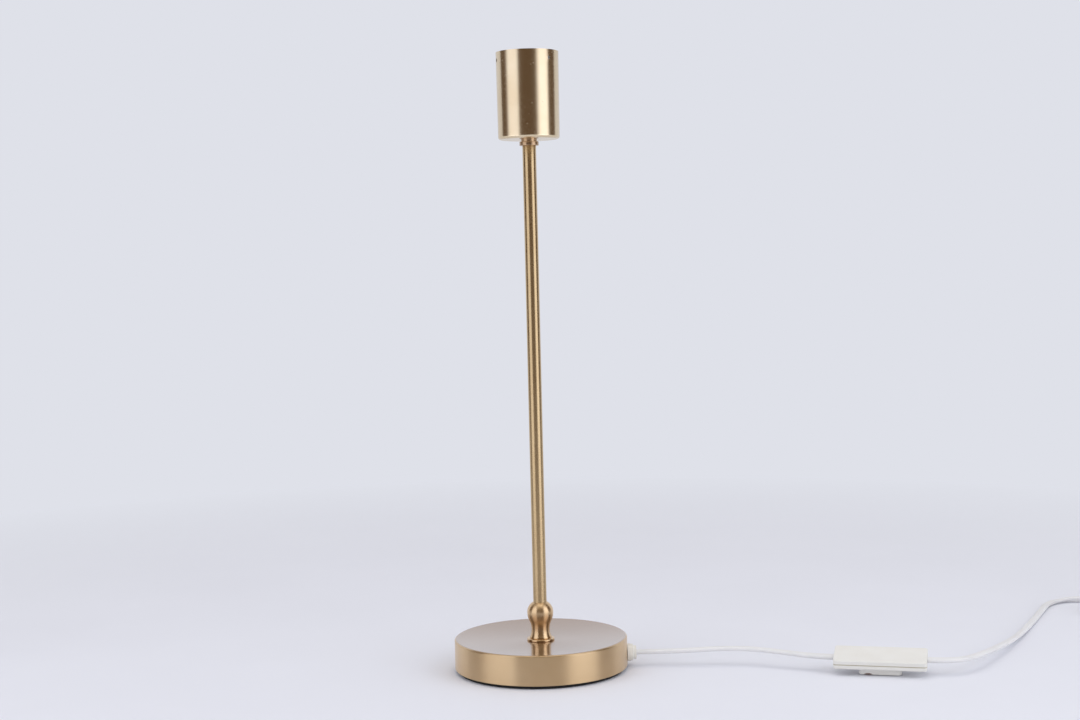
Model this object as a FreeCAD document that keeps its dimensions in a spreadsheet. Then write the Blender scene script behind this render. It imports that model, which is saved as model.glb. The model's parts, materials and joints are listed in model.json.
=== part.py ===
# Table lamp base: round weighted foot, turned knob, slim stem, lampholder cup,
# flat two-core cord with an inline rocker switch, a put-away coil and a flat two-pin plug.
# Millimetres. Origin on the floor under the middle of the base, +Z up, the cord leaves towards +X.
import FreeCAD, Part
import math
import os
import re
import Sketcher

V = FreeCAD.Vector
doc = FreeCAD.newDocument("TableLamp")
sheet = doc.addObject("Spreadsheet::Sheet", "sizes")

# Driving dimensions. Names that end in share are plain ratios, those that end in angle are degrees.
SIZES = {
    # base
    "cover_radius": 64.0,
    "cover_height": 21.8,
    "cover_wall": 1.2,
    "cover_edge": 1.5,
    "cover_dish": 2.6,
    "seat_radius": 14.0,
    "floor_gap": 2.5,
    "pad_inset": 3.0,
    "pad_thickness": 3.0,
    "weight_gap": 2.8,
    "weight_thickness": 15.0,
    "weight_boss_radius": 24.0,
    "weight_web": 3.0,
    "weight_pocket_radius": 17.0,
    "weight_slot_width": 7.0,
    "weight_slot_depth": 10.5,
    "weight_notch_width": 20.0,
    "weight_notch_length": 8.0,
    "washer_radius": 11.0,
    "washer_thickness": 1.5,
    "nut_across_corners": 16.2,
    "nut_height": 4.0,
    "nut_chamfer": 0.8,
    # stem, foot and cup
    "stem_radius": 5.0,
    "stem_wall": 1.0,
    "stem_below_nut": 0.5,
    "thread_gap": 0.05,
    "ring_radius": 10.15,
    "ring_thickness": 1.6,
    "ring_bevel": 0.5,
    "knob_height": 26.8,
    "knob_radius": 9.68,
    "knob_belly_height": 19.4,
    "knob_belly_share": 0.508,
    "knob_neck_radius": 6.7,
    "knob_neck_height": 6.4,
    "knob_flare_radius": 8.0,
    "knob_flare_height": 1.2,
    "knob_lip": 0.4,
    "knob_top_radius": 5.3,
    "lamp_height": 454.4,
    "cup_height": 63.2,
    "cup_top_radius": 22.9,
    "cup_bottom_radius": 22.5,
    "cup_wall": 1.0,
    "cup_fillet": 2.0,
    "collar_radius": 7.0,
    "collar_height": 4.5,
    "collar_bevel": 0.3,
    "collar_neck": 1.6,
    "collar_neck_radius": 5.8,
    "cup_nut_height": 3.5,
    "grub_drop": 6.0,
    "grub_radius": 1.25,
    "grub_hole_gap": 0.1,
    "grub_recess": 0.5,
    "grub_slot": 0.5,
    "grub_first_angle": 44.0,
    # lampholder
    "holder_radius": 19.8,
    "holder_wall": 1.9,
    "holder_boss_radius": 8.5,
    "holder_boss_height": 4.0,
    "holder_engagement": 10.0,
    "holder_shoulder_height": 14.0,
    "holder_neck_start": 18.0,
    "holder_neck_height": 8.0,
    "holder_top_drop": 2.2,
    "core_flange": 2.0,
    "core_depth": 8.0,
    "core_gap": 0.2,
    "socket_radius": 13.3,
    "socket_wall": 0.5,
    "socket_foot": 3.0,
    "socket_step": 0.8,
    "socket_step_height": 4.0,
    "socket_mouth_drop": 1.0,
    "lip_thickness": 2.0,
    "lip_gap": 0.3,
    "tongue_width": 6.0,
    "tongue_thickness": 0.5,
    "tongue_rise": 3.0,
    "tongue_reach": 2.0,
    "tongue_foot": 5.2,
    "side_width": 3.6,
    "side_gap": 0.4,
    "rivet_radius": 1.2,
    "rivet_head_radius": 1.8,
    "rivet_head": 0.6,
    "block_length": 7.0,
    "block_width": 8.0,
    "block_height": 5.0,
    "block_offset": 7.5,
    "terminal_screw_radius": 1.5,
    "terminal_head_radius": 2.4,
    "terminal_head": 1.6,
    "core_wire_radius": 1.0,
    "core_wire_gap": 0.2,
    "wire_start": 2.0,
    "wire_bend_share": 0.3,
    # cord and grip
    "cord_width": 5.4,
    "cord_thickness": 3.3,
    "grip_height": 10.6,
    "grip_radius": 6.5,
    "grip_flange": 2.4,
    "grip_step": 1.6,
    "grip_step_drop": 0.35,
    "grip_taper": 0.5,
    "grip_taper_radius": 5.3,
    "grip_nose": 2.1,
    "grip_nose_radius": 5.0,
    "grip_shank_radius": 4.9,
    "grip_shank": 7.0,
    "grip_nut_corners": 14.4,
    "grip_nut_height": 3.0,
    "grip_nut_back": 1.75,
    "run_gap": 0.1,
    # inline switch
    "switch_x": 244.3,
    "switch_y": -40.2,
    "switch_yaw_angle": -14.2,
    "switch_roll_angle": 12.0,
    "switch_length": 66.0,
    "switch_width": 26.5,
    "switch_corner": 2.0,
    "switch_wall": 1.6,
    "back_thickness": 3.2,
    "back_edge": 0.5,
    "seam_edge": 0.4,
    "front_depth": 3.8,
    "front_edge": 1.8,
    "hump_length": 30.5,
    "hump_width": 18.0,
    "hump_depth": 8.7,
    "hump_corner": 3.0,
    "hump_wall": 1.6,
    "rocker_length": 22.0,
    "rocker_width": 14.0,
    "rocker_dip": 0.7,
    "rocker_pivot_depth": 5.2,
    "rocker_shoulder_depth": 6.0,
    "rocker_top_depth": 3.6,
    "rocker_crest_half": 3.0,
    "rocker_end_inset": 0.4,
    "rocker_swing_angle": 4.5,
    "rocker_gap": 0.8,
    "trunnion_radius": 1.2,
    "trunnion_length": 1.2,
    "bridge_length": 16.0,
    "bridge_width": 4.0,
    "bridge_thickness": 0.6,
    "bridge_gap": 0.3,
    "contact_thickness": 0.8,
    "contact_post": 1.6,
    "contact_pad": 2.4,
    "contact_reach": 15.0,
    "screw_x": 20.0,
    "screw_y": 9.4,
    "screw_boss_radius": 2.2,
    "screw_radius": 1.0,
    "screw_head_radius": 1.8,
    "screw_head": 1.4,
    "clamp_length": 3.0,
    "clamp_width": 8.0,
    "clamp_x": 27.0,
    "sheath_inside": 8.0,
    "neutral_offset": 5.4,
    # plug
    "plug_width": 35.3,
    "plug_thickness": 13.7,
    "plug_length": 34.0,
    "plug_shoulder": 13.0,
    "plug_neck_width": 11.0,
    "plug_corner": 3.0,
    "plug_edge": 1.6,
    "relief_length": 22.0,
    "relief_end_radius": 3.2,
    "relief_root_radius": 4.6,
    "pin_radius": 2.0,
    "pin_length": 19.0,
    "pin_pitch": 19.0,
    "pin_root": 6.0,
    "pin_root_radius": 1.6,
    "pin_nose": 1.0,
    # coil and tie
    "coil_x": 492.5,
    "coil_y": 131.3,
    "coil_radius": 37.5,
    "coil_pitch": 4.9,
    "layer_pitch": 5.9,
    "coil_start_angle": 55.0,
    "coil_turns_in": 3.0,
    "coil_turns_out": 2.75,
    "tie_width": 6.0,
    "tie_thickness": 0.8,
    "tie_gap": 0.2,
    "tie_side_gap": 0.45,
    "tie_head": 2.0,
    "tie_round_share": 0.9,
    "tie_head_round_share": 0.25,
    # shared
    "overrun": 1.0,
    "lie_gap": 0.2,
}

# Worked-out values that several pieces share, as formulas of the driving ones.
DERIVED = {
    "rim_height": "floor_gap + cover_height",
    "weight_radius": "cover_radius - cover_wall - weight_gap",
    "seat_height": "rim_height - cover_dish",
    "seat_underside": "seat_height - cover_wall",
    "web_underside": "seat_underside - weight_web",
    "washer_bottom": "web_underside - washer_thickness",
    "nut_bottom": "washer_bottom - nut_height",
    "stem_bottom": "nut_bottom - stem_below_nut",
    "bore_radius": "stem_radius + thread_gap",
    "stem_bore": "stem_radius - stem_wall",
    "knob_bottom": "seat_height + ring_thickness",
    "cup_bottom": "lamp_height - cup_height",
    "cup_floor": "cup_bottom + cup_wall",
    "holder_bottom": "cup_floor + cup_nut_height",
    "stem_top": "holder_bottom + holder_engagement",
    "neck_bottom": "holder_bottom + holder_neck_start",
    "neck_top": "neck_bottom + holder_neck_height",
    "core_top": "neck_top + core_flange",
    "holder_top": "lamp_height - holder_top_drop",
    "neck_radius": "holder_radius - holder_wall - run_gap",
    "neck_bore": "neck_radius - holder_wall",
    "socket_outer": "socket_radius + socket_wall",
    "grip_end": "cover_radius + grip_flange + grip_step + grip_taper + grip_nose",
    "grub_height": "lamp_height - grub_drop",
    "cord_radius": "sqrt(cord_thickness * (cord_width - cord_thickness) / pi + (cord_thickness / 2) ^ 2)",
    "cord_low": "tie_thickness + tie_gap + cord_width / 2",
    "cord_high": "cord_low + layer_pitch",
    "plug_height": "plug_thickness / 2 + lie_gap",
}

# Routes of the free cord, chosen by hand: straight runs between these points, rounded by arcs.
LEAD_MIDDLE = [(86, 0, 10.6), (106, -3.5, 11.6), (130, -4.5, 12.8), (154, -6, 12.6), (176, -16.5, 11.9)]
RUN_MIDDLE = [
    (301.5, -49, 10.9),
    (313, -38, 10.2),
    (325.5, -20.5, 8.8),
    (343, 6, 6.8),
    (359.5, 33.5, 4.8),
    (378, 69, 3.2),
    (397, 107.5, 2.4),
    (414.5, 144, 2.4),
    (431, 178.5, 2.4),
    (452.5, 190.5, 2.4),
    (475, 182.5, 2.9),
    (502.5, 170, 3.7),
]
TAIL_MIDDLE = [(508, 81, 8.6), (506.5, 66, 7.05)]
PLUG_END = (506.5, 52)
LEAD_END_RUN = 15.0
RUN_FIRST_RUN = 12.0
TAIL_FIRST_RUN = 15.0
CLIMB_TURNS = 0.5
SMALL_TURN = 1e-4
STEPS_PER_TURN = 60
INNER_MIDDLE = [(46, 0, 10.6), (30, 0, 7.6), (14, 0, 5.6), (0, 0, 5.6)]


def fill_sheet():
    row = 1
    for name, value in SIZES.items():
        sheet.set(f"A{row}", name)
        sheet.set(f"B{row}", str(value))
        sheet.setAlias(f"B{row}", name)
        row += 1
    for name, formula in DERIVED.items():
        sheet.set(f"A{row}", name)
        sheet.set(f"B{row}", "=" + formula)
        sheet.setAlias(f"B{row}", name)
        row += 1
    doc.recompute()


def bound(text):
    """The same formula with every sheet name written as sizes.NAME."""
    return re.sub(r"[a-z]+(_[a-z]+)+|overrun", lambda m: "sizes." + m.group(0), text)


def size(text):
    """A formula's value, as a plain number."""
    value = sheet.evalExpression(bound(text))
    return float(value)


def bind(thing, **formulas):
    for prop, text in formulas.items():
        thing.setExpression(prop, bound(text))


def at(thing, place):
    """Binds an object's position to three formulas."""
    for axis, text in zip("xyz", place):
        thing.setExpression("Placement.Base." + axis, bound(text))


# Primitives


def cylinder(name, radius, height, place=("0", "0", "0"), axis="z"):
    thing = doc.addObject("Part::Cylinder", name)
    bind(thing, Radius=radius, Height=height)
    if axis == "x":
        thing.Placement.Rotation = FreeCAD.Rotation(V(0, 1, 0), 90)
    if axis == "y":
        thing.Placement.Rotation = FreeCAD.Rotation(V(1, 0, 0), -90)
    at(thing, place)
    return thing


def box(name, length, width, height, place):
    """A box from its lowest corner."""
    thing = doc.addObject("Part::Box", name)
    bind(thing, Length=length, Width=width, Height=height)
    at(thing, place)
    return thing


def middle_box(name, length, width, height, x, y, z):
    """A box centred on x and y that stands on z."""
    place = (f"{x} - ({length}) / 2", f"{y} - ({width}) / 2", z)
    return box(name, length, width, height, place)


def cone(name, radius_one, radius_two, height, place, axis="z"):
    thing = doc.addObject("Part::Cone", name)
    bind(thing, Radius1=radius_one, Radius2=radius_two, Height=height)
    if axis == "x":
        thing.Placement.Rotation = FreeCAD.Rotation(V(0, 1, 0), 90)
    at(thing, place)
    return thing


def hexagon(name, corner_radius, height, place, axis="z"):
    thing = doc.addObject("Part::Prism", name)
    thing.Polygon = 6
    bind(thing, Circumradius=corner_radius, Height=height)
    if axis == "x":
        thing.Placement.Rotation = FreeCAD.Rotation(V(0, 1, 0), 90)
    at(thing, place)
    return thing


def cut(name, base, tools):
    for number, tool in enumerate(tools):
        last = number == len(tools) - 1
        thing = doc.addObject("Part::Cut", name if last else f"{name}_cut_{number}")
        thing.Base = base
        thing.Tool = tool
        base = thing
    return base


def fuse(name, things):
    thing = doc.addObject("Part::MultiFuse", name)
    thing.Shapes = things
    thing.Refine = True
    return thing


def group(name, things):
    """Separate solids that share one node."""
    thing = doc.addObject("Part::Compound", name)
    thing.Links = things
    return thing


def rounded(name, base, radius, picks):
    """Fillets the base's edges for which picks(edge) holds."""
    doc.recompute()
    thing = doc.addObject("Part::Fillet", name)
    thing.Base = base
    chosen = [n for n, edge in enumerate(base.Shape.Edges, 1) if picks(edge)]
    thing.Edges = [(n, size(radius), size(radius)) for n in chosen]
    return thing


def upright(edge):
    ends = edge.Vertexes
    return len(ends) == 2 and abs(ends[0].Z - ends[1].Z) > edge.Length * (1 - 1e-6)


def flat_at(height):
    """Picks the edges that lie whole at one height."""

    def picks(edge):
        bounds = edge.BoundBox
        return abs(bounds.ZMin - height) < 1e-4 and abs(bounds.ZMax - height) < 1e-4

    return picks


# Sketches: an outline is a list of corners (r, z), each a formula. A third entry makes the side
# that leads to that corner an arc of that radius, and a fourth says on which side its centre lies.


def arc_centre(start, end, radius, side):
    middle = (start + end) * 0.5
    chord = end - start
    rise = math.sqrt(max(radius**2 - (chord.Length / 2) ** 2, 0))
    return middle + V(-chord.y, chord.x, 0).normalize() * rise * side


def draw_outline(sketch, outline):
    """Draws a closed outline whose corners and radii are bound to the sheet."""
    corners = [V(size(c[0]), size(c[1]), 0) for c in outline]
    sides = []
    for number, corner in enumerate(outline):
        start, end = corners[number - 1], corners[number]
        if len(corner) == 2:
            sides.append(Part.LineSegment(start, end))
            continue
        side = corner[3]
        centre = arc_centre(start, end, size(corner[2]), side)
        one, two = start - centre, end - centre
        first, last = (one, two) if side > 0 else (two, one)
        begin = math.atan2(first.y, first.x)
        stop = math.atan2(last.y, last.x)
        circle = Part.Circle(centre, V(0, 0, 1), one.Length)
        sides.append(Part.ArcOfCircle(circle, begin, stop if stop > begin else stop + 2 * math.pi))
    sketch.addGeometry(sides, False)

    def end_of(number):
        corner = outline[number]
        return 1 if len(corner) > 2 and corner[3] < 0 else 2

    for number, corner in enumerate(outline):
        following = (number + 1) % len(outline)
        start_of = 3 - end_of(following)
        sketch.addConstraint(Sketcher.Constraint("Coincident", number, end_of(number), following, start_of))
    for number, corner in enumerate(outline):
        for kind, text in (("DistanceX", corner[0]), ("DistanceY", corner[1])):
            value = size(text)
            if abs(value) < 1e-9:
                line = -2 if kind == "DistanceX" else -1
                sketch.addConstraint(Sketcher.Constraint("PointOnObject", number, end_of(number), line))
                continue
            rule = Sketcher.Constraint(kind, -1, 1, number, end_of(number), value)
            place = sketch.addConstraint(rule)
            sketch.setExpression(f"Constraints[{place}]", bound(text))
        if len(corner) > 2:
            place = sketch.addConstraint(Sketcher.Constraint("Radius", number, size(corner[2])))
            sketch.setExpression(f"Constraints[{place}]", bound(corner[2]))


def body_sketch(body, name, plane):
    sketch = body.newObject("Sketcher::SketchObject", name)
    origin = [f for f in body.Origin.OriginFeatures if f.Role == plane][0]
    sketch.AttachmentSupport = (origin, [""])
    sketch.MapMode = "FlatFace"
    return sketch


def turned(name, outline):
    """A lathe part: the outline turned about Z."""
    body = doc.addObject("PartDesign::Body", name)
    sketch = body_sketch(body, name + "_outline", "XZ_Plane")
    draw_outline(sketch, outline)
    revolution = body.newObject("PartDesign::Revolution", name + "_turn")
    revolution.Profile = sketch
    revolution.ReferenceAxis = (sketch, ["V_Axis"])
    revolution.Angle = 360
    doc.recompute()
    return body


def padded(name, outline, width):
    """A plate: the outline in X and Z, as thick as width and centred on Y."""
    body = doc.addObject("PartDesign::Body", name)
    sketch = body_sketch(body, name + "_outline", "XZ_Plane")
    draw_outline(sketch, outline)
    pad = body.newObject("PartDesign::Pad", name + "_pad")
    pad.Profile = sketch
    bind(pad, Length=width)
    pad.SideType = "Symmetric"
    doc.recompute()
    return body


def plan(name, outline, height, place):
    """A plate: the outline in X and Y, as thick as height and standing on place."""
    body = doc.addObject("PartDesign::Body", name)
    sketch = body_sketch(body, name + "_outline", "XY_Plane")
    draw_outline(sketch, outline)
    pad = body.newObject("PartDesign::Pad", name + "_pad")
    pad.Profile = sketch
    bind(pad, Length=height)
    at(body, place)
    doc.recompute()
    return body


# Tubes along a route


def unit(vector):
    return V(vector).normalize()


def bend_radius(before, point, after):
    """Radius of the arc at a point: 0.45 of the shorter run over the tangent of half the turn."""
    one, two = point - before, after - point
    half = one.getAngle(two) / 2
    return 0.45 * min(one.Length, two.Length) / math.tan(half), half


def route_wire(points):
    edges = []
    start = points[0]
    radii = []
    for before, point, after in zip(points, points[1:], points[2:]):
        radius, half = bend_radius(before, point, after)
        reach = radius * math.tan(half)
        one, two = unit(point - before), unit(after - point)
        begin, end = point - one * reach, point + two * reach
        inward = unit(two - one)
        middle = point + inward * (radius / math.cos(half) - radius)
        edges.append(Part.LineSegment(start, begin).toShape())
        edges.append(Part.Arc(begin, middle, end).toShape())
        radii.append(radius)
        start = end
    edges.append(Part.LineSegment(start, points[-1]).toShape())
    return Part.Wire(edges), radii


def sweep(name, wire, radius):
    """A round solid along a wire, whose volume is compared with section times length."""
    edge = wire.OrderedEdges[0]
    direction = edge.tangentAt(edge.FirstParameter)
    start = edge.valueAt(edge.FirstParameter)
    profile = Part.Wire([Part.Circle(start, direction, radius).toShape()])
    solid = wire.makePipeShell([profile], True, False)
    if solid.ShapeType != "Solid":
        solid = Part.Solid(solid)
    expected = math.pi * radius**2 * wire.Length
    error = abs(solid.Volume / expected - 1)
    print(f"{name}: length {wire.Length:.1f} mm, volume differs by {error:.5f}")
    if error > 0.01 or not solid.isValid():
        raise ValueError(f"{name} is not a sound tube")
    return solid


def feature(name, shape):
    thing = doc.addObject("Part::Feature", name)
    thing.Shape = shape
    return thing


def tube(name, points, radius):
    points = [V(*p) for p in points]
    wire, radii = route_wire(points)
    print(f"{name}: radii {', '.join(f'{r:.1f}' for r in radii)} mm")
    return feature(name, sweep(name, wire, radius))


# Base


def make_base():
    hole = "bore_radius"
    dish = "((cover_radius - cover_edge - seat_radius) ^ 2 + cover_dish ^ 2) / (2 * cover_dish)"
    inner = "(cover_radius - cover_wall - seat_radius)"
    inner_dish = f"({inner} ^ 2 + cover_dish ^ 2) / (2 * cover_dish)"
    shell = turned(
        "cover_shell",
        [
            ("cover_radius", "floor_gap"),
            ("cover_radius", "rim_height - cover_edge"),
            ("cover_radius - cover_edge", "rim_height", "cover_edge", 1),
            ("seat_radius", "seat_height", dish, -1),
            (hole, "seat_height"),
            (hole, "seat_underside"),
            ("seat_radius", "seat_underside"),
            ("cover_radius - cover_wall", "rim_height - cover_wall", inner_dish, 1),
            ("cover_radius - cover_wall", "floor_gap"),
        ],
    )
    drill = cylinder(
        "cover_drill",
        "grip_shank_radius + run_gap",
        "cover_wall + 2 * overrun",
        ("cover_radius - cover_wall - overrun", "0", "grip_height"),
        "x",
    )
    cut("base_cover", shell, [drill])

    block = turned(
        "weight_block",
        [
            ("weight_radius", "pad_thickness"),
            ("weight_radius", "pad_thickness + weight_thickness"),
            ("weight_boss_radius", "pad_thickness + weight_thickness"),
            ("weight_boss_radius", "seat_underside"),
            (hole, "seat_underside"),
            (hole, "web_underside"),
            ("weight_pocket_radius", "web_underside"),
            ("weight_pocket_radius", "pad_thickness"),
        ],
    )
    slot = box(
        "weight_slot",
        "weight_radius + overrun",
        "weight_slot_width",
        "weight_slot_depth + overrun",
        ("0", "-weight_slot_width / 2", "pad_thickness - overrun"),
    )
    notch = box(
        "weight_notch",
        "weight_notch_length + overrun",
        "weight_notch_width",
        "weight_thickness + 2 * overrun",
        ("weight_radius - weight_notch_length", "-weight_notch_width / 2", "pad_thickness - overrun"),
    )
    cut("base_weight", block, [slot, notch])
    cylinder("base_pad", "cover_radius - pad_inset", "pad_thickness")
    turned(
        "base_washer",
        [
            ("washer_radius", "washer_bottom"),
            ("washer_radius", "web_underside"),
            (hole, "web_underside"),
            (hole, "washer_bottom"),
        ],
    )
    nut("base_nut", "nut_across_corners", "nut_height", "nut_bottom")


def nut(name, corners, height, bottom):
    """A hexagon nut on the stem, its corners turned off at both ends."""
    blank = hexagon(name + "_blank", f"{corners} / 2", height, ("0", "0", bottom))
    turning = turned(
        name + "_turning",
        [
            (f"{corners} / 2", f"{bottom} + nut_chamfer / 2"),
            (f"{corners} / 2", f"{bottom} + {height} - nut_chamfer / 2"),
            (f"{corners} / 2 - nut_chamfer", f"{bottom} + {height}"),
            ("bore_radius", f"{bottom} + {height}"),
            ("bore_radius", bottom),
            (f"{corners} / 2 - nut_chamfer", bottom),
        ],
    )
    piece = doc.addObject("Part::Common", name)
    piece.Base = blank
    piece.Tool = turning


# Foot, stem and cup


def make_stem():
    hole = "bore_radius"
    turned(
        "foot_ring",
        [
            ("ring_radius - ring_bevel", "seat_height"),
            ("ring_radius", "seat_height + ring_bevel"),
            ("ring_radius", "knob_bottom - ring_bevel"),
            ("ring_radius - ring_bevel", "knob_bottom"),
            (hole, "knob_bottom"),
            (hole, "seat_height"),
        ],
    )
    # The belly and the neck are two arcs that meet at an inflection without a kink.
    drop = "(knob_radius - knob_neck_radius)"
    span = "(knob_belly_height - knob_neck_height)"
    both = f"(({drop} ^ 2 + {span} ^ 2) / (2 * {drop}))"
    belly = f"(knob_belly_share * {both})"
    neck = f"((1 - knob_belly_share) * {both})"
    flare_drop = "(knob_flare_radius - knob_neck_radius)"
    flare_span = "(knob_neck_height - knob_flare_height)"
    flare = f"({flare_drop} ^ 2 + {flare_span} ^ 2) / (2 * {flare_drop})"
    crown_drop = "(knob_radius - knob_top_radius)"
    crown_span = "(knob_height - knob_belly_height)"
    crown = f"({crown_drop} ^ 2 + {crown_span} ^ 2) / (2 * {crown_drop})"
    turned(
        "foot_knob",
        [
            ("knob_flare_radius - knob_lip", "knob_bottom"),
            ("knob_flare_radius", "knob_bottom + knob_lip"),
            ("knob_flare_radius", "knob_bottom + knob_flare_height"),
            ("knob_neck_radius", "knob_bottom + knob_neck_height", flare, -1),
            (
                f"knob_neck_radius + (1 - knob_belly_share) * {drop}",
                f"knob_bottom + knob_neck_height + (1 - knob_belly_share) * {span}",
                neck,
                -1,
            ),
            ("knob_radius", "knob_bottom + knob_belly_height", belly, 1),
            ("knob_top_radius", "knob_bottom + knob_height", crown, 1),
            (hole, "knob_bottom + knob_height"),
            (hole, "knob_bottom"),
        ],
    )
    turned(
        "stem_tube",
        [
            ("stem_radius", "stem_bottom"),
            ("stem_radius", "stem_top"),
            ("stem_bore", "stem_top"),
            ("stem_bore", "stem_bottom"),
        ],
    )
    turned(
        "top_collar",
        [
            ("collar_radius - collar_bevel", "cup_bottom - collar_height"),
            ("collar_radius", "cup_bottom - collar_height + collar_bevel"),
            ("collar_radius", "cup_bottom - collar_neck - collar_bevel"),
            ("collar_radius - collar_bevel", "cup_bottom - collar_neck"),
            ("collar_neck_radius", "cup_bottom - collar_neck"),
            ("collar_neck_radius", "cup_bottom"),
            (hole, "cup_bottom"),
            (hole, "cup_bottom - collar_height"),
        ],
    )
    inside = "(cup_fillet - cup_wall)"
    cup = turned(
        "cup_shell",
        [
            ("cup_bottom_radius - cup_fillet", "cup_bottom"),
            ("cup_bottom_radius", "cup_bottom + cup_fillet", "cup_fillet", 1),
            ("cup_top_radius", "lamp_height"),
            ("cup_top_radius - cup_wall", "lamp_height"),
            ("cup_bottom_radius - cup_wall", "cup_bottom + cup_fillet"),
            ("cup_bottom_radius - cup_fillet", "cup_floor", inside, -1),
            (hole, "cup_floor"),
            (hole, "cup_bottom"),
        ],
    )
    nut("cup_nut", "nut_across_corners", "cup_nut_height", "cup_floor")
    drills = []
    screws = []
    for number in range(3):
        angle = size("grub_first_angle") - 90 + 120 * number
        turn = FreeCAD.Rotation(V(0, 0, 1), angle)
        drill = cylinder(
            f"grub_drill_{number}",
            "grub_radius + grub_hole_gap",
            "cup_wall + 2 * overrun",
            ("cup_top_radius - cup_wall - overrun", "0", "grub_height"),
            "x",
        )
        drills.append(turned_about(f"grub_hole_{number}", drill, turn))
        screw = cylinder(
            f"grub_rod_{number}",
            "grub_radius",
            "cup_top_radius - grub_recess - holder_radius",
            ("holder_radius", "0", "grub_height"),
            "x",
        )
        slit = box(
            f"grub_slit_{number}",
            "grub_slot + overrun",
            "2 * grub_radius + 2 * overrun",
            "grub_slot",
            (
                "cup_top_radius - grub_recess - grub_slot",
                "-grub_radius - overrun",
                "grub_height - grub_slot / 2",
            ),
        )
        slotted = cut(f"grub_slotted_{number}", screw, [slit])
        screws.append(turned_about(f"grub_{number}", slotted, turn))
    cut("holder_cup", cup, drills)
    group("grub_screws", screws)


def turned_about(name, thing, rotation):
    """The same piece turned about the lamp's axis."""
    holder = doc.addObject("Part::Compound", name)
    holder.Links = [thing]
    holder.Placement = FreeCAD.Placement(V(0, 0, 0), rotation)
    return holder


# Lampholder


def make_holder():
    flare_side = "(holder_radius - holder_boss_radius)"
    flare_rise = "(holder_shoulder_height - holder_boss_height)"
    flare = f"(({flare_side} ^ 2 + {flare_rise} ^ 2) / (2 * {flare_side}))"
    bottom = "holder_bottom"
    turned(
        "holder_cap",
        [
            ("holder_boss_radius", bottom),
            ("holder_boss_radius", f"{bottom} + holder_boss_height"),
            ("holder_radius", f"{bottom} + holder_shoulder_height", flare, 1),
            ("holder_radius", "neck_bottom"),
            ("neck_radius", "neck_bottom"),
            ("neck_radius", "neck_top"),
            ("neck_bore", "neck_top"),
            ("neck_bore", f"{bottom} + holder_shoulder_height + holder_wall"),
            ("holder_boss_radius", "stem_top"),
            ("bore_radius", "stem_top"),
            ("bore_radius", bottom),
        ],
    )
    plate = turned(
        "core_plate",
        [
            ("0", "neck_top - core_depth"),
            ("neck_bore - core_gap", "neck_top - core_depth"),
            ("neck_bore - core_gap", "neck_top"),
            ("neck_radius", "neck_top"),
            ("neck_radius", "core_top"),
            ("0", "core_top"),
        ],
    )
    pockets = []
    for side in ("-", ""):
        name = "left" if side else "right"
        pockets.append(
            middle_box(
                f"core_pocket_{name}",
                "block_length + 2 * core_gap",
                "block_width + 2 * (terminal_head + core_gap)",
                "core_depth",
                f"{side}block_offset",
                "0",
                "neck_top - core_depth - core_flange",
            )
        )
        pockets.append(
            cylinder(
                f"core_hole_{name}",
                "rivet_radius + thread_gap",
                "core_depth + core_flange + 2 * overrun",
                (f"{side}block_offset", "0", "neck_top - core_depth"),
            )
        )
    cut("holder_core", plate, pockets)
    turned(
        "holder_skirt",
        [
            ("holder_radius", "neck_bottom"),
            ("holder_radius", "holder_top"),
            ("socket_outer + lip_gap", "holder_top"),
            ("socket_outer + lip_gap", "holder_top - lip_thickness"),
            ("holder_radius - holder_wall", "holder_top - lip_thickness"),
            ("holder_radius - holder_wall", "neck_bottom"),
        ],
    )
    foot = "socket_radius - socket_foot"
    turned(
        "thread_shell",
        [
            ("socket_outer - socket_step", "core_top"),
            ("socket_outer - socket_step", "core_top + socket_step_height - socket_wall"),
            ("socket_outer", "core_top + socket_step_height - socket_wall"),
            ("socket_outer", "holder_top - socket_mouth_drop"),
            ("socket_radius", "holder_top - socket_mouth_drop"),
            ("socket_radius", "core_top + socket_step_height"),
            ("socket_radius - socket_step", "core_top + socket_step_height"),
            ("socket_radius - socket_step", "core_top + socket_wall"),
            (foot, "core_top + socket_wall"),
            (foot, "core_top"),
        ],
    )
    make_contacts()


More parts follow.
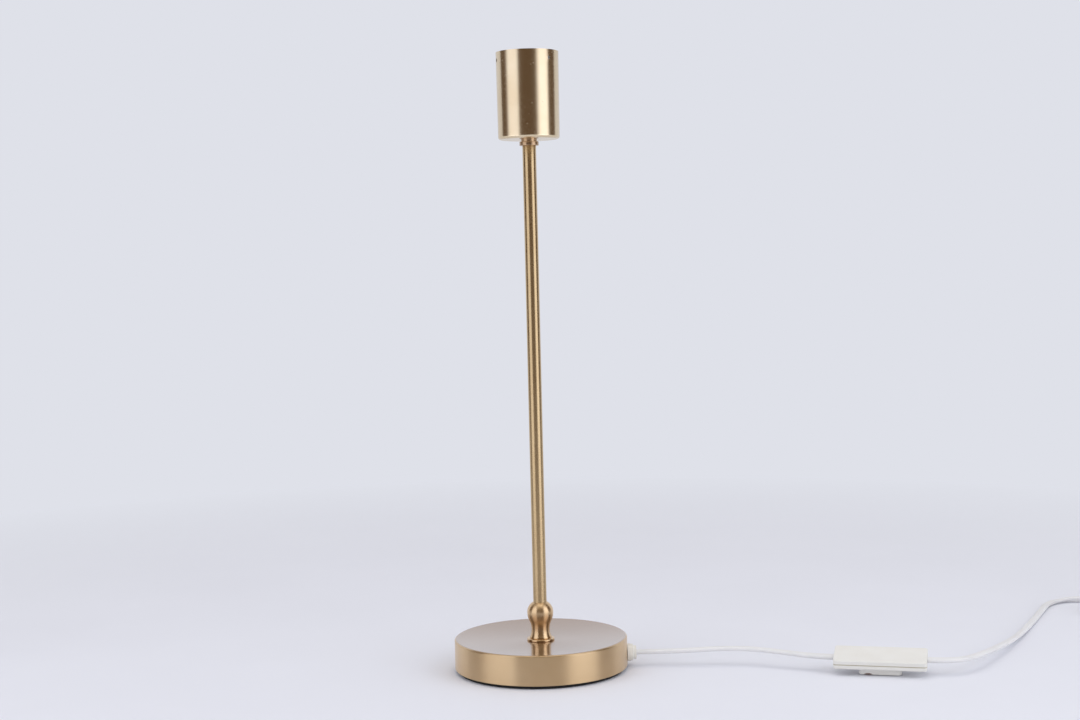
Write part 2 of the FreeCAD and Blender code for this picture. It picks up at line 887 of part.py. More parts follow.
def make_contacts():
    top = "core_top"
    under = "neck_top - core_flange"
    # The bulb's centre contact: a strip riveted at one side that rises to the middle.
    strip = padded(
        "centre_strip",
        [
            ("-block_offset - rivet_head_radius", top),
            ("-block_offset + tongue_foot / 2", top),
            ("-tongue_reach", f"{top} + tongue_rise"),
            ("tongue_reach", f"{top} + tongue_rise"),
            ("tongue_reach", f"{top} + tongue_rise + tongue_thickness"),
            ("-tongue_reach", f"{top} + tongue_rise + tongue_thickness"),
            ("-block_offset + tongue_foot / 2 - tongue_thickness", f"{top} + tongue_thickness"),
            ("-block_offset - rivet_head_radius", f"{top} + tongue_thickness"),
        ],
        "tongue_width",
    )
    hole = cylinder(
        "centre_hole",
        "rivet_radius + thread_gap",
        "tongue_thickness + 2 * overrun",
        ("-block_offset", "0", f"{top} - overrun"),
    )
    cut("centre_contact", strip, [hole])
    # The side contact lies on the core and steps up onto the foot of the thread shell.
    foot = "socket_radius - socket_foot"
    lug = padded(
        "side_lug",
        [
            ("block_offset - rivet_head_radius", top),
            (f"{foot} - side_gap", top),
            (f"{foot} - side_gap", f"{top} + socket_wall"),
            ("socket_radius - socket_step - side_gap", f"{top} + socket_wall"),
            ("socket_radius - socket_step - side_gap", f"{top} + socket_wall + tongue_thickness"),
            (f"{foot} - side_gap - tongue_thickness", f"{top} + socket_wall + tongue_thickness"),
            (f"{foot} - side_gap - tongue_thickness", f"{top} + tongue_thickness"),
            ("block_offset - rivet_head_radius", f"{top} + tongue_thickness"),
        ],
        "side_width",
    )
    side_hole = cylinder(
        "side_hole",
        "rivet_radius + thread_gap",
        "tongue_thickness + 2 * overrun",
        ("block_offset", "0", f"{top} - overrun"),
    )
    cut("side_contact", lug, [side_hole])
    blocks = []
    rivets = []
    screws = []
    for side, name in (("-", "left"), ("", "right")):
        place = f"{side}block_offset"
        block = middle_box(
            f"block_body_{name}",
            "block_length",
            "block_width",
            "block_height",
            place,
            "0",
            f"{under} - block_height",
        )
        screw_reach = "block_width / 2"
        screw_hole = cylinder(
            f"block_screw_hole_{name}",
            "terminal_screw_radius + thread_gap",
            f"{screw_reach} + overrun",
            (place, "-block_width / 2 - overrun", f"{under} - block_height / 2"),
            "y",
        )
        blocks.append(cut(f"block_{name}", block, [screw_hole]))
        shank = cylinder(
            f"screw_shank_{name}",
            "terminal_screw_radius",
            f"{screw_reach} - overrun / 2 + terminal_head",
            (place, "-block_width / 2 - terminal_head", f"{under} - block_height / 2"),
            "y",
        )
        head = cylinder(
            f"screw_head_{name}",
            "terminal_head_radius",
            "terminal_head",
            (place, "-block_width / 2 - terminal_head", f"{under} - block_height / 2"),
            "y",
        )
        screws.append(fuse(f"holder_screw_{name}", [shank, head]))
        rod = cylinder(
            f"rivet_rod_{name}",
            "rivet_radius",
            f"{top} + tongue_thickness + rivet_head - ({under})",
            (place, "0", under),
        )
        cap = cylinder(
            f"rivet_cap_{name}",
            "rivet_head_radius",
            "rivet_head",
            (place, "0", f"{top} + tongue_thickness"),
        )
        rivets.append(fuse(f"rivet_{name}", [rod, cap]))
    group("terminal_blocks", blocks)
    group("contact_rivets", rivets)
    group("terminal_screws", screws)


# Cord grip


def make_grip():
    stack = [
        ("flange", "grip_radius", "grip_radius", "grip_flange"),
        ("step", "grip_radius - grip_step_drop", "grip_radius - grip_step_drop", "grip_step"),
        ("taper", "grip_radius - grip_step_drop", "grip_taper_radius", "grip_taper"),
        ("nose", "grip_nose_radius", "grip_nose_radius", "grip_nose"),
    ]
    pieces = [
        cylinder(
            "grip_shank_rod",
            "grip_shank_radius",
            "grip_shank",
            ("cover_radius - grip_shank", "0", "grip_height"),
            "x",
        )
    ]
    start = "cover_radius"
    for name, one, two, length in stack:
        if one == two:
            piece = cylinder("grip_" + name + "_disc", one, length, (start, "0", "grip_height"), "x")
        else:
            piece = cone("grip_" + name + "_disc", one, two, length, (start, "0", "grip_height"), "x")
        pieces.append(piece)
        start = f"{start} + {length}"
    body = fuse("grip_solid", pieces)
    bore = cylinder(
        "grip_bore",
        "cord_radius + thread_gap",
        "grip_end - cover_radius + grip_shank + 2 * overrun",
        ("cover_radius - grip_shank - overrun", "0", "grip_height"),
        "x",
    )
    cut("cord_grip", body, [bore])
    blank = hexagon(
        "grip_nut_blank",
        "grip_nut_corners / 2",
        "grip_nut_height",
        ("cover_radius - grip_nut_back - grip_nut_height", "0", "grip_height"),
        "x",
    )
    hole = cylinder(
        "grip_nut_hole",
        "grip_shank_radius + thread_gap",
        "grip_nut_height + 2 * overrun",
        ("cover_radius - grip_nut_back - grip_nut_height - overrun", "0", "grip_height"),
        "x",
    )
    cut("grip_nut", blank, [hole])


# Inline switch, in its own frame: X along the cord away from the lamp, Z out of the back plate,
# the seam between the two shells at Z 0. It lies on its rocker side, tipped towards -Y.


def round_block(name, length, width, height, bottom, corner):
    """A block centred on the frame's Z with rounded upright edges."""
    raw = middle_box(name + "_raw", length, width, height, "0", "0", bottom)
    return rounded(name, raw, corner, upright)


def slot_bar(name, length, place, grow="0"):
    """The flat cord's section, with round sides, as a bar along X, all round larger by grow."""
    half = "(cord_width - cord_thickness) / 2"
    core = box(
        name + "_core",
        length,
        "cord_width - cord_thickness",
        f"cord_thickness + 2 * {grow}",
        (place, f"-{half}", f"-cord_thickness / 2 - {grow}"),
    )
    sides = [
        cylinder(f"{name}_side_{n}", f"cord_thickness / 2 + {grow}", length, (place, sign + half, "0"), "x")
        for n, sign in enumerate(("-", ""))
    ]
    return fuse(name, [core, *sides])


def switch_placement():
    yaw = FreeCAD.Rotation(V(0, 0, 1), size("switch_yaw_angle"))
    roll = FreeCAD.Rotation(V(1, 0, 0), size("switch_roll_angle"))
    tip = math.radians(size("switch_roll_angle"))
    swing = math.radians(size("rocker_swing_angle"))
    # The near lower edge of the rocker's housing, or of the rocker's raised end, lies just above the floor.
    face = size("hump_depth - rocker_pivot_depth")
    raised = face * math.cos(swing) + size("rocker_length / 2") * math.sin(swing)
    raised += size("rocker_pivot_depth")
    housing_reach = size("hump_width / 2") * math.sin(tip) + size("hump_depth") * math.cos(tip)
    rocker_reach = size("rocker_width / 2") * math.sin(tip) + raised * math.cos(tip)
    height = max(housing_reach, rocker_reach) + size("lie_gap")
    return FreeCAD.Placement(V(size("switch_x"), size("switch_y"), height), yaw * roll)


def make_switch():
    inside_x = "switch_length - 2 * switch_wall"
    inside_y = "switch_width - 2 * switch_wall"
    corner = "switch_corner - switch_wall"
    length = "sheath_inside + run_gap + overrun"
    entry = [
        slot_bar("entry_slot_in", length, "-switch_length / 2 - overrun", "run_gap"),
        slot_bar("entry_slot_out", length, "switch_length / 2 - sheath_inside - run_gap", "run_gap"),
    ]
    screw_spots = [("-screw_x", "-screw_y"), ("screw_x", "screw_y")]

    outline = ("switch_length", "switch_width")
    plate = round_block("back_block", *outline, "back_thickness", "0", "switch_corner")
    plate = rounded("back_plate", plate, "back_edge", flat_at(size("back_thickness")))
    plate = rounded("back_seam", plate, "seam_edge", flat_at(0))
    back_room = round_block(
        "back_room", inside_x, inside_y, "back_thickness - switch_wall + overrun", "-overrun", corner
    )
    back_shell = cut("back_shell", plate, [back_room])
    bosses = [
        cylinder(f"back_boss_{n}", "screw_boss_radius", "back_thickness - switch_wall / 2", (x, y, "0"))
        for n, (x, y) in enumerate(screw_spots)
    ]
    back_body = fuse("back_body", [back_shell, *bosses])
    holes = [
        cylinder(
            f"back_screw_hole_{n}",
            "screw_radius + thread_gap",
            "back_thickness - switch_wall + overrun",
            (x, y, "-overrun"),
        )
        for n, (x, y) in enumerate(screw_spots)
    ]
    switch_part(cut("switch_back", back_body, [*entry, *holes]))

    tray = round_block("front_block", *outline, "front_depth", "-front_depth", "switch_corner")
    tray = rounded("front_tray", tray, "front_edge", flat_at(-size("front_depth")))
    tray = rounded("front_seam", tray, "seam_edge", flat_at(0))
    housing = ("hump_length", "hump_width", "hump_depth")
    hump = round_block("hump_block", *housing, "-hump_depth", "hump_corner")
    body = fuse("front_body", [tray, hump])
    room = round_block(
        "front_room",
        inside_x,
        inside_y,
        "front_depth - switch_wall + overrun",
        "switch_wall - front_depth",
        corner,
    )
    hollow = middle_box(
        "hump_hollow",
        "hump_length - 2 * hump_wall",
        "rocker_width + rocker_gap",
        "hump_depth - hump_wall",
        "0",
        "0",
        "hump_wall - hump_depth",
    )
    window = middle_box(
        "hump_window",
        "rocker_length + 2 * rocker_gap",
        "rocker_width + rocker_gap",
        "hump_wall + 2 * overrun",
        "0",
        "0",
        "-hump_depth - overrun",
    )
    bearings = cylinder(
        "rocker_bearings",
        "trunnion_radius + thread_gap",
        "rocker_width + 2 * (trunnion_length + run_gap)",
        ("0", "-rocker_width / 2 - trunnion_length - run_gap", "-rocker_pivot_depth"),
        "y",
    )
    shell = cut("front_shell", body, [room, hollow, window])
    posts = [
        cylinder(
            f"front_post_{n}",
            "screw_boss_radius",
            "front_depth - switch_wall / 2",
            (x, y, "switch_wall / 2 - front_depth"),
        )
        for n, (x, y) in enumerate(screw_spots)
    ]
    shell = fuse("front_posts", [shell, *posts])
    screw_holes = []
    for n, (x, y) in enumerate(screw_spots):
        screw_holes.append(
            cylinder(
                f"front_screw_hole_{n}",
                "screw_radius + run_gap",
                "front_depth + 2 * overrun",
                (x, y, "-front_depth - overrun"),
            )
        )
        screw_holes.append(
            cylinder(
                f"front_head_hole_{n}",
                "screw_head_radius + run_gap",
                "screw_head + overrun",
                (x, y, "-front_depth - overrun"),
            )
        )
    switch_part(cut("switch_front", shell, [*entry, bearings, *screw_holes]))

    screws = []
    for n, (x, y) in enumerate(screw_spots):
        shank = cylinder(
            f"shell_shank_{n}",
            "screw_radius",
            "front_depth + back_thickness - switch_wall - thread_gap",
            (x, y, "-front_depth"),
        )
        head = cylinder(f"shell_head_{n}", "screw_head_radius", "screw_head", (x, y, "-front_depth"))
        screws.append(fuse(f"shell_screw_{n}", [shank, head]))
    switch_part(group("shell_screws", screws))
    make_rocker()
    make_switch_contacts()
    make_switch_leads()


def switch_part(thing):
    doc.recompute()
    thing.Placement = switch_placement().multiply(thing.Placement)


def swung(thing, name):
    """The piece as it lies when the rocker is tipped to one end, then placed."""
    pivot = V(0, 0, -size("rocker_pivot_depth"))
    turn = FreeCAD.Rotation(V(0, -1, 0), size("rocker_swing_angle"))
    holder = doc.addObject("Part::Compound", name)
    holder.Links = [thing]
    holder.Placement = switch_placement().multiply(FreeCAD.Placement(V(0, 0, 0), turn, pivot))
    return holder


def make_rocker():
    face = "-hump_depth"
    end = "rocker_length / 2"
    key = padded(
        "rocker_key",
        [
            (f"-{end}", face),
            ("0", f"{face} + rocker_dip"),
            (end, face),
            (f"{end} - rocker_end_inset", "-rocker_shoulder_depth"),
            ("rocker_crest_half", "-rocker_top_depth"),
            ("-rocker_crest_half", "-rocker_top_depth"),
            (f"rocker_end_inset - {end}", "-rocker_shoulder_depth"),
        ],
        "rocker_width",
    )
    axle = cylinder(
        "rocker_axle",
        "trunnion_radius",
        "rocker_width + 2 * trunnion_length",
        ("0", "-rocker_width / 2 - trunnion_length", "-rocker_pivot_depth"),
        "y",
    )
    whole = fuse("rocker_whole", [key, axle])
    swung(whole, "switch_rocker")
    blade = middle_box(
        "bridge_blade",
        "bridge_length",
        "bridge_width",
        "bridge_thickness",
        "0",
        "0",
        "-rocker_top_depth",
    )
    swung(blade, "contact_bridge")


def make_switch_contacts():
    """Two strips on the back plate: one ends over the bridge's middle, one over its raised end."""
    under = "back_thickness - switch_wall"
    strip = "contact_thickness"
    middle = "-rocker_top_depth + bridge_thickness + bridge_gap"
    raised = f"({middle} + bridge_length / 2 * sin(rocker_swing_angle))"
    pivot = padded(
        "pivot_strip",
        [
            ("contact_post / 2", under),
            ("contact_post / 2", f"{under} - {strip}"),
            ("0", middle),
            ("-contact_post / 2", f"{under} - {strip}"),
            ("-contact_reach - contact_pad", f"{under} - {strip}"),
            ("-contact_reach - contact_pad", under),
        ],
        "bridge_width",
    )
    pad = padded(
        "pad_strip",
        [
            ("contact_reach + contact_pad", under),
            ("contact_reach + contact_pad", f"{under} - {strip}"),
            ("bridge_length / 2", f"{under} - {strip}"),
            ("bridge_length / 2", raised),
            ("bridge_length / 2 - contact_pad", raised),
            ("bridge_length / 2 - contact_pad", under),
        ],
        "bridge_width",
    )
    switch_part(group("fixed_contacts", [pivot, pad]))
    screws = []
    for side, name in (("-", "in"), ("", "out")):
        screw = cylinder(
            f"lead_screw_{name}",
            "terminal_screw_radius",
            f"{under} - {strip} + front_depth / 4",
            (f"{side}(contact_reach + contact_pad / 2)", "0", "-front_depth / 4"),
        )
        screws.append(screw)
    switch_part(group("switch_terminals", screws))


def make_switch_leads():
    """The cord's ends inside the shells, its cores to the terminals, and the core that runs through."""
    end = "switch_length / 2"
    sheaths = [
        slot_bar("sheath_in", "sheath_inside", f"-{end}"),
        slot_bar("sheath_out", "sheath_inside", f"{end} - sheath_inside"),
    ]
    inner = size("switch_length / 2 - sheath_inside")
    offset = size("(cord_width - cord_thickness) / 2")
    reach = size("contact_reach + contact_pad / 2 + terminal_screw_radius")
    aside = size("neutral_offset")
    radius = size("core_wire_radius")
    bend = aside - offset
    cores = []
    for name, start in (("core_live_in", -inner), ("core_live_out", reach)):
        rod = Part.makeCylinder(radius, inner - reach, V(start, -offset, 0), V(1, 0, 0))
        cores.append(feature(name, rod))
    path = [V(-inner, offset, 0), V(bend - inner, offset, 0), V(2 * bend - inner, aside, 0)]
    path += [V(inner - 2 * bend, aside, 0), V(inner - bend, offset, 0), V(inner, offset, 0)]
    wire, radii = route_wire(path)
    through = feature("core_neutral", sweep("core_neutral", wire, radius))
    switch_part(group("switch_leads", [*sheaths, *cores, through]))
    bars = []
    for side, name in (("-", "in"), ("", "out")):
        bars.append(
            middle_box(
                f"clamp_{name}",
                "clamp_length",
                "clamp_width",
                "front_depth - switch_wall - cord_thickness / 2",
                f"{side}clamp_x",
                "0",
                "switch_wall - front_depth",
            )
        )
    switch_part(group("cord_clamps", bars))


# Plug, in its own frame: X from the cord to the pins


def plug_placement():
    return FreeCAD.Placement(
        V(PLUG_END[0], PLUG_END[1], size("plug_height")),
        FreeCAD.Rotation(V(0, 0, 1), -90),
    )


def make_plug():
    start = "relief_length"
    end = "relief_length + plug_length"
    block = plan(
        "plug_block",
        [
            (start, "-plug_neck_width / 2"),
            (f"{end} - plug_shoulder", "-plug_width / 2"),
            (end, "-plug_width / 2"),
            (end, "plug_width / 2"),
            (f"{end} - plug_shoulder", "plug_width / 2"),
            (start, "plug_neck_width / 2"),
        ],
        "plug_thickness",
        ("0", "0", "-plug_thickness / 2"),
    )
    eased = rounded("plug_eased", block, "plug_corner", upright)
    half = size("plug_thickness / 2")
    low = flat_at(-half)
    high = flat_at(half)
    eased = rounded("plug_soft", eased, "plug_edge", lambda edge: low(edge) or high(edge))
    relief = cone(
        "plug_relief",
        "relief_end_radius",
        "relief_root_radius",
        "relief_length + plug_edge",
        ("0", "0", "0"),
        "x",
    )
    solid = fuse("plug_solid", [eased, relief])
    sockets = []
    pins = []
    for side, name in (("-", "near"), ("", "far")):
        place = (f"{end} - pin_root", f"{side}pin_pitch / 2", "0")
        sockets.append(
            cylinder(f"pin_socket_{name}", "pin_root_radius + thread_gap", "pin_root + overrun", place, "x")
        )
        root = cylinder(f"pin_root_{name}", "pin_root_radius", "pin_root", place, "x")
        outside = (end, f"{side}pin_pitch / 2", "0")
        rod = cylinder(f"pin_rod_{name}", "pin_radius", "pin_length - pin_nose", outside, "x")
        tip = cone(
            f"pin_tip_{name}",
            "pin_radius",
            "pin_radius / 2",
            "pin_nose",
            (f"{end} + pin_length - pin_nose", f"{side}pin_pitch / 2", "0"),
            "x",
        )
        pins.append(fuse(f"pin_{name}", [root, rod, tip]))
    body = cut("plug_body", solid, sockets)
    both = group("plug_pins", pins)
    doc.recompute()
    for thing in (body, both):
        thing.Placement = plug_placement().multiply(thing.Placement)


# Cord: round tubes of the flat cord's section area


def coil_point(turn):
    """A point of the coil's centreline, turn by turn: in below, up half a turn, out above."""
    into, climb = size("coil_turns_in"), CLIMB_TURNS
    inmost = into + climb / 2
    low, rise = size("cord_low"), size("layer_pitch")
    radius = size("coil_radius") - size("coil_pitch") * (inmost - abs(turn - inmost))
    share = min(max((turn - into) / climb, 0), 1)
    height = low + rise * share**2 * (3 - 2 * share)
    angle = math.radians(size("coil_start_angle")) - 2 * math.pi * turn
    centre = V(size("coil_x"), size("coil_y"), height)
    return centre + V(math.cos(angle), math.sin(angle), 0) * radius


def coil_direction(turn):
    """The centreline's heading, measured over a small part of a turn."""
    return unit(coil_point(turn + SMALL_TURN) - coil_point(turn - SMALL_TURN))


def arc_from(start, direction, end):
    """The arc that leaves start along direction and ends at end."""
    chord = end - start
    across = chord - direction * chord.dot(direction)
    if across.Length < 1e-6 * chord.Length:
        return Part.LineSegment(start, end).toShape()
    normal = unit(across)
    radius = chord.Length**2 / (2 * chord.dot(normal))
    centre = start + normal * radius
    middle = centre + unit((start + end) * 0.5 - centre) * radius
    return Part.Arc(start, middle, end).toShape()


def biarc(start, direction, end, final):
    """Two tangent arcs from start along direction to end along final."""
    chord = end - start
    both = direction + final
    bend = 2 * (1 - direction.dot(final))
    along = chord.dot(both)
    reach = (math.sqrt(along**2 + bend * chord.dot(chord)) - along) / bend
    joint = (start + end + (direction - final) * reach) * 0.5
    first = arc_from(start, direction, joint)
    last = arc_from(end, -final, joint)
    last.reverse()
    return [first, last]


def all_turns():
    return size("coil_turns_in") + CLIMB_TURNS + size("coil_turns_out")


def make_coil(radius):
    turns = all_turns()
    quarters = round(4 * turns)
    places = [turns * n / quarters for n in range(quarters + 1)]
    edges = []
    for one, two in zip(places, places[1:]):
        edges += biarc(coil_point(one), coil_direction(one), coil_point(two), coil_direction(two))
    wire = Part.Wire(edges)
    feature("cord_coil", sweep("cord_coil", wire, radius))
    line = [coil_point(n / STEPS_PER_TURN) for n in range(round(turns * STEPS_PER_TURN) + 1)]
    far_apart = STEPS_PER_TURN // 2
    apart = min(one.distanceToPoint(two) for n, one in enumerate(line) for two in line[n + far_apart :])
    print(f"cord_coil: least gap to itself {apart - 2 * radius:.2f} mm")


def make_tie(radius):
    """A band round the coil's bundle of turns, a quarter turn before the coil's start."""
    angle = size("coil_start_angle") + 90
    middle = size("coil_radius") - size("coil_pitch") * (0.75 + (size("coil_turns_in") - 1) / 2)
    reach = size("coil_pitch") * (size("coil_turns_in") - 1) / 2 + radius + size("tie_side_gap")
    band, gap = size("tie_thickness"), size("tie_gap")
    low = size("cord_low - cord_width / 2") - gap
    high = size("cord_high + cord_width / 2") + gap
    wide = size("tie_width")
    tall = high - low
    outer = Part.makeBox(2 * (reach + band), wide, tall + 2 * band, V(-reach - band, -wide / 2, low - band))
    inner = Part.makeBox(2 * reach, wide, tall, V(-reach, -wide / 2, low))
    along_y = [edge for edge in outer.Edges if edge.BoundBox.YLength > wide / 2]
    ring = outer.makeFillet(band * size("tie_round_share"), along_y).cut(inner)
    head = size("tie_head")
    lock = Part.makeBox(2 * head, wide + head, head, V(-head, -wide / 2 - head / 2, high))
    solid = ring.fuse(lock.makeFillet(head * size("tie_head_round_share"), lock.Edges)).removeSplitter()
    thing = feature("coil_tie", solid)
    turn = FreeCAD.Rotation(V(0, 0, 1), angle)
    centre = V(size("coil_x"), size("coil_y"), 0)
    thing.Placement = FreeCAD.Placement(centre + turn.multVec(V(middle, 0, 0)), turn)


def make_cords():
    radius = size("cord_radius")
    grip = V(size("cover_radius - grip_shank"), 0, size("grip_height"))
    place = switch_placement()
    along = place.Rotation.multVec(V(1, 0, 0))
    half = size("switch_length") / 2
    arrives, leaves = place.Base - along * half, place.Base + along * half
    tube("cord_lead", [grip, *LEAD_MIDDLE, arrives - along * LEAD_END_RUN, arrives], radius)
    tube("cord_run", [leaves, leaves + along * RUN_FIRST_RUN, *RUN_MIDDLE, coil_point(0)], radius)
    make_coil(radius)
    end, heading = coil_point(all_turns()), coil_direction(all_turns())
    plug = V(PLUG_END[0], PLUG_END[1], size("plug_height"))
    tube("cord_tail", [end, end + heading * TAIL_FIRST_RUN, *TAIL_MIDDLE, plug], radius)
    top = V(0, 0, size("stem_top") + size("wire_start"))
    tube("inner_cord", [grip, *INNER_MIDDLE, top], radius)
    make_tie(radius)
    make_wires(radius)


def make_wires(radius):
    """The two cores from the cord's end above the stem to the terminal blocks."""
    wire_radius = size("core_wire_radius")
    start = size("stem_top") + size("wire_start")
    under = size("neck_top - core_flange - block_height")
    side = size("block_offset")
    straight = (under - start) * size("wire_bend_share")
    for name, sign in (("live_wire", -1), ("neutral_wire", 1)):
        out = sign * (wire_radius + size("core_wire_gap") / 2)
        points = [
            V(out, 0, start),
            V(out, 0, start + straight),
            V(sign * side, 0, under - straight),
            V(sign * side, 0, under),
        ]
        tube(name, points, wire_radius)


NODES = [
    "base_cover",
    "base_weight",
    "base_pad",
    "base_washer",
    "base_nut",
    "foot_ring",
    "foot_knob",
    "stem_tube",
    "top_collar",
    "holder_cup",
    "cup_nut",
    "grub_screws",
    "holder_cap",
    "holder_core",
    "holder_skirt",
    "thread_shell",
    "centre_contact",
    "side_contact",
    "contact_rivets",
    "terminal_blocks",
    "terminal_screws",
    "live_wire",
    "neutral_wire",
    "inner_cord",
    "cord_grip",
    "grip_nut",
    "cord_lead",
    "switch_back",
    "switch_front",
    "switch_rocker",
    "contact_bridge",
    "fixed_contacts",
    "switch_terminals",
    "switch_leads",
    "cord_clamps",
    "shell_screws",
    "cord_run",
    "cord_coil",
    "coil_tie",
    "cord_tail",
    "plug_body",
    "plug_pins",
]


def write_parts():
    doc.recompute()
    for thing in doc.Objects:
        if "Invalid" in thing.State or "Error" in thing.State:
            raise ValueError(f"{thing.Name} did not compute: {thing.State}")
    os.makedirs("parts", exist_ok=True)
    for name in NODES:
        thing = doc.getObject(name)
        shape = thing.Shape
        if shape.isNull() or not shape.isValid() or not shape.Solids:
            raise ValueError(f"{name} has no valid solid")
        thing.Label = name
        shape.exportStep(f"parts/{name}.step")
        bounds = shape.optimalBoundingBox()
        heights = f"z {bounds.ZMin:.2f} to {bounds.ZMax:.2f}"
        print(f"{name}: {len(shape.Solids)} solids, {shape.Volume:.0f} mm3, {heights}")


fill_sheet()
make_base()
make_stem()
make_holder()
make_grip()
make_switch()
make_cords()
make_plug()
write_parts()
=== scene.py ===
import json
import math

import bpy
from mathutils import Matrix, Vector


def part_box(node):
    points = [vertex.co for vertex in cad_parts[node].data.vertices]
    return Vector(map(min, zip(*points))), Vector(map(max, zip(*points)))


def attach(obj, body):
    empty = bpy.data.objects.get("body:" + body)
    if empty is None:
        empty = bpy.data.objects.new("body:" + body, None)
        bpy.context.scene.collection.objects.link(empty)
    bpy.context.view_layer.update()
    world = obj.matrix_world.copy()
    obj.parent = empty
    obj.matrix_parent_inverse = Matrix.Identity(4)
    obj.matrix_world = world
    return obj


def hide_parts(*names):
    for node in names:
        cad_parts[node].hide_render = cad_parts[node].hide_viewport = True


# Table lamp base with flat cord, inline switch and plug: looks, light and camera round the
# CAD frame.

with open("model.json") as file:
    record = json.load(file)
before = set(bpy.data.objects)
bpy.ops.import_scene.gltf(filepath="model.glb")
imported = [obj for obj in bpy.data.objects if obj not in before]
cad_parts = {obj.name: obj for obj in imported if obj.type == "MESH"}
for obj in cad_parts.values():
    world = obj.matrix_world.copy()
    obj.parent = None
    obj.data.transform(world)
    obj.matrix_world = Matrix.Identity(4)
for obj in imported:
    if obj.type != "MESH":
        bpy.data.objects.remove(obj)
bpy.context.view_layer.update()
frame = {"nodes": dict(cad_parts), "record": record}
MM = 0.001
UP = Vector((0, 0, 1))


# Sizes of the turned pieces in millimetres, the same as in the part's source

BORE_RADIUS = 5.05
COVER_EDGE = 1.5
COVER_WALL = 1.2
COVER_DISH = 2.6
SEAT_RADIUS = 14.0

# Radius, and height above the knob's foot
KNOB_FLARE = (8.0, 1.2)
KNOB_NECK = (6.7, 6.4)
KNOB_BELLY = (9.68, 19.4)
KNOB_TOP_RADIUS = 5.3
KNOB_LIP = 0.4
BELLY_SHARE = 0.508
RING_BEVEL = 0.5

STEM_RADIUS = 5.0
STEM_WALL = 1.0
COLLAR_EDGE = 0.3
COLLAR_NECK = 1.6
COLLAR_NECK_RADIUS = 5.8

SHELL_WALL = 0.5
SHELL_STEP = 0.8
SHELL_STEP_HEIGHT = 4.0
SHELL_FOOT_RADIUS = 10.3

# Threads and the tube's chamfers, which only the scene has

STEM_CHAMFER = 0.5
STEM_THREAD_PITCH = 1.0
STEM_THREAD_DEPTH = 0.25
SHELL_THREAD_PITCH = 3.63
SHELL_THREAD_DEPTH = 0.9
SHELL_THREAD_FADE = 2.5
SHELL_THREAD_MOUTH = 1.6
SHELL_THREAD_ROWS = 72


# The cord's width and thickness, its routes and the coil in millimetres, as in the source

CORD_WIDTH = 5.4
CORD_THICKNESS = 3.3
CORD_RISE = 10.6
GRIP_INNER_END = 57.0
SWITCH_CENTRE = (244.3, -40.2, 11.0)
SWITCH_YAW = math.radians(-14.2)
SWITCH_ROLL = math.radians(12.0)
SWITCH_LENGTH = 66.0
LEAD_END_RUN = 15.0
RUN_FIRST_RUN = 12.0
TAIL_FIRST_RUN = 15.0
COIL_CENTRE = (492.5, 131.3)
COIL_RADIUS = 37.5
COIL_PITCH = 4.9
COIL_LOW = 3.7
LAYER_PITCH = 5.9
COIL_START = math.radians(55)
TURNS_IN = 3.0
CLIMB_TURNS = 0.5
TURNS_OUT = 2.75
PLUG_END = (506.5, 52.0, 7.05)

LEAD_MIDDLE = [
    (86, 0, 10.6),
    (106, -3.5, 11.6),
    (130, -4.5, 12.8),
    (154, -6, 12.6),
    (176, -16.5, 11.9),
]
RUN_MIDDLE = [
    (301.5, -49, 10.9),
    (313, -38, 10.2),
    (325.5, -20.5, 8.8),
    (343, 6, 6.8),
    (359.5, 33.5, 4.6),
    (378, 69, 2.6),
    (397, 107.5, 1.8),
    (414.5, 144, 1.8),
    (431, 178.5, 2.2),
    (452.5, 190.5, 2.8),
    (475, 182.5, 2.9),
    (502.5, 170, 3.7),
]
TAIL_MIDDLE = [(508, 81, 8.6), (506.5, 66, 7.05)]

# How the scene draws them: smooth lines, and a shallow groove in each of the cord's flats

POINTS_PER_TURN = 24
ROUTE_ORDER = 3
ROUTE_STEPS = 12
CORD_GROOVE = 0.12
GROOVE_SHARE = 0.25
CORD_SHARP = 50

# Where along a cord its section starts or stops to tip, in millimetres
LEAD_FLAT_TO = 120
LEAD_TIPPED_AT = 160
RUN_FLAT_AT = 60
RUN_FLAT_TO = 285
RUN_ON_EDGE_AT = 335
COIL_AT = 378
COIL_EASE = 40
TAIL_FLAT_AT = 1560

# How far it is tipped in the coil, in degrees
ON_EDGE = 90

# From the coil's outermost turn in to its mean turn, in pitches
MEAN_TURN = 1.5


# Node helpers

# A Mix node's two colours and its result, whose names its other sockets have too
MIX_ONE, MIX_TWO, MIX_RESULT = 6, 7, 2


def linear(red, green, blue):
    """A screen colour from 0 to 255 as the linear values that shaders take."""
    shares = [value / 255 for value in (red, green, blue)]
    return [s / 12.92 if s <= 0.04045 else ((s + 0.055) / 1.055) ** 2.4 for s in shares] + [1]


def material(name, base, roughness, metallic=0.0):
    """A material and its main shader."""
    made = bpy.data.materials.new(name)
    made.use_nodes = True
    shader = made.node_tree.nodes["Principled BSDF"]
    shader.inputs["Base Color"].default_value = linear(*base)
    shader.inputs["Roughness"].default_value = roughness
    shader.inputs["Metallic"].default_value = metallic
    return made, shader


def set_socket(made, socket, value):
    """Links a value that is a socket and writes any other."""
    if isinstance(value, bpy.types.NodeSocket):
        made.node_tree.links.new(value, socket)
    else:
        socket.default_value = value


def add(made, kind, **values):
    """A node with its named inputs set."""
    node = made.node_tree.nodes.new(kind)
    for name, value in values.items():
        set_socket(made, node.inputs[name], value)
    return node


def math_node(made, operation, *values):
    node = made.node_tree.nodes.new("ShaderNodeMath")
    node.operation = operation
    for socket, value in zip(node.inputs, values):
        set_socket(made, socket, value)
    return node.outputs[0]


def length_of(made, vector):
    node = made.node_tree.nodes.new("ShaderNodeVectorMath")
    node.operation = "LENGTH"
    made.node_tree.links.new(vector, node.inputs[0])
    return node.outputs["Value"]


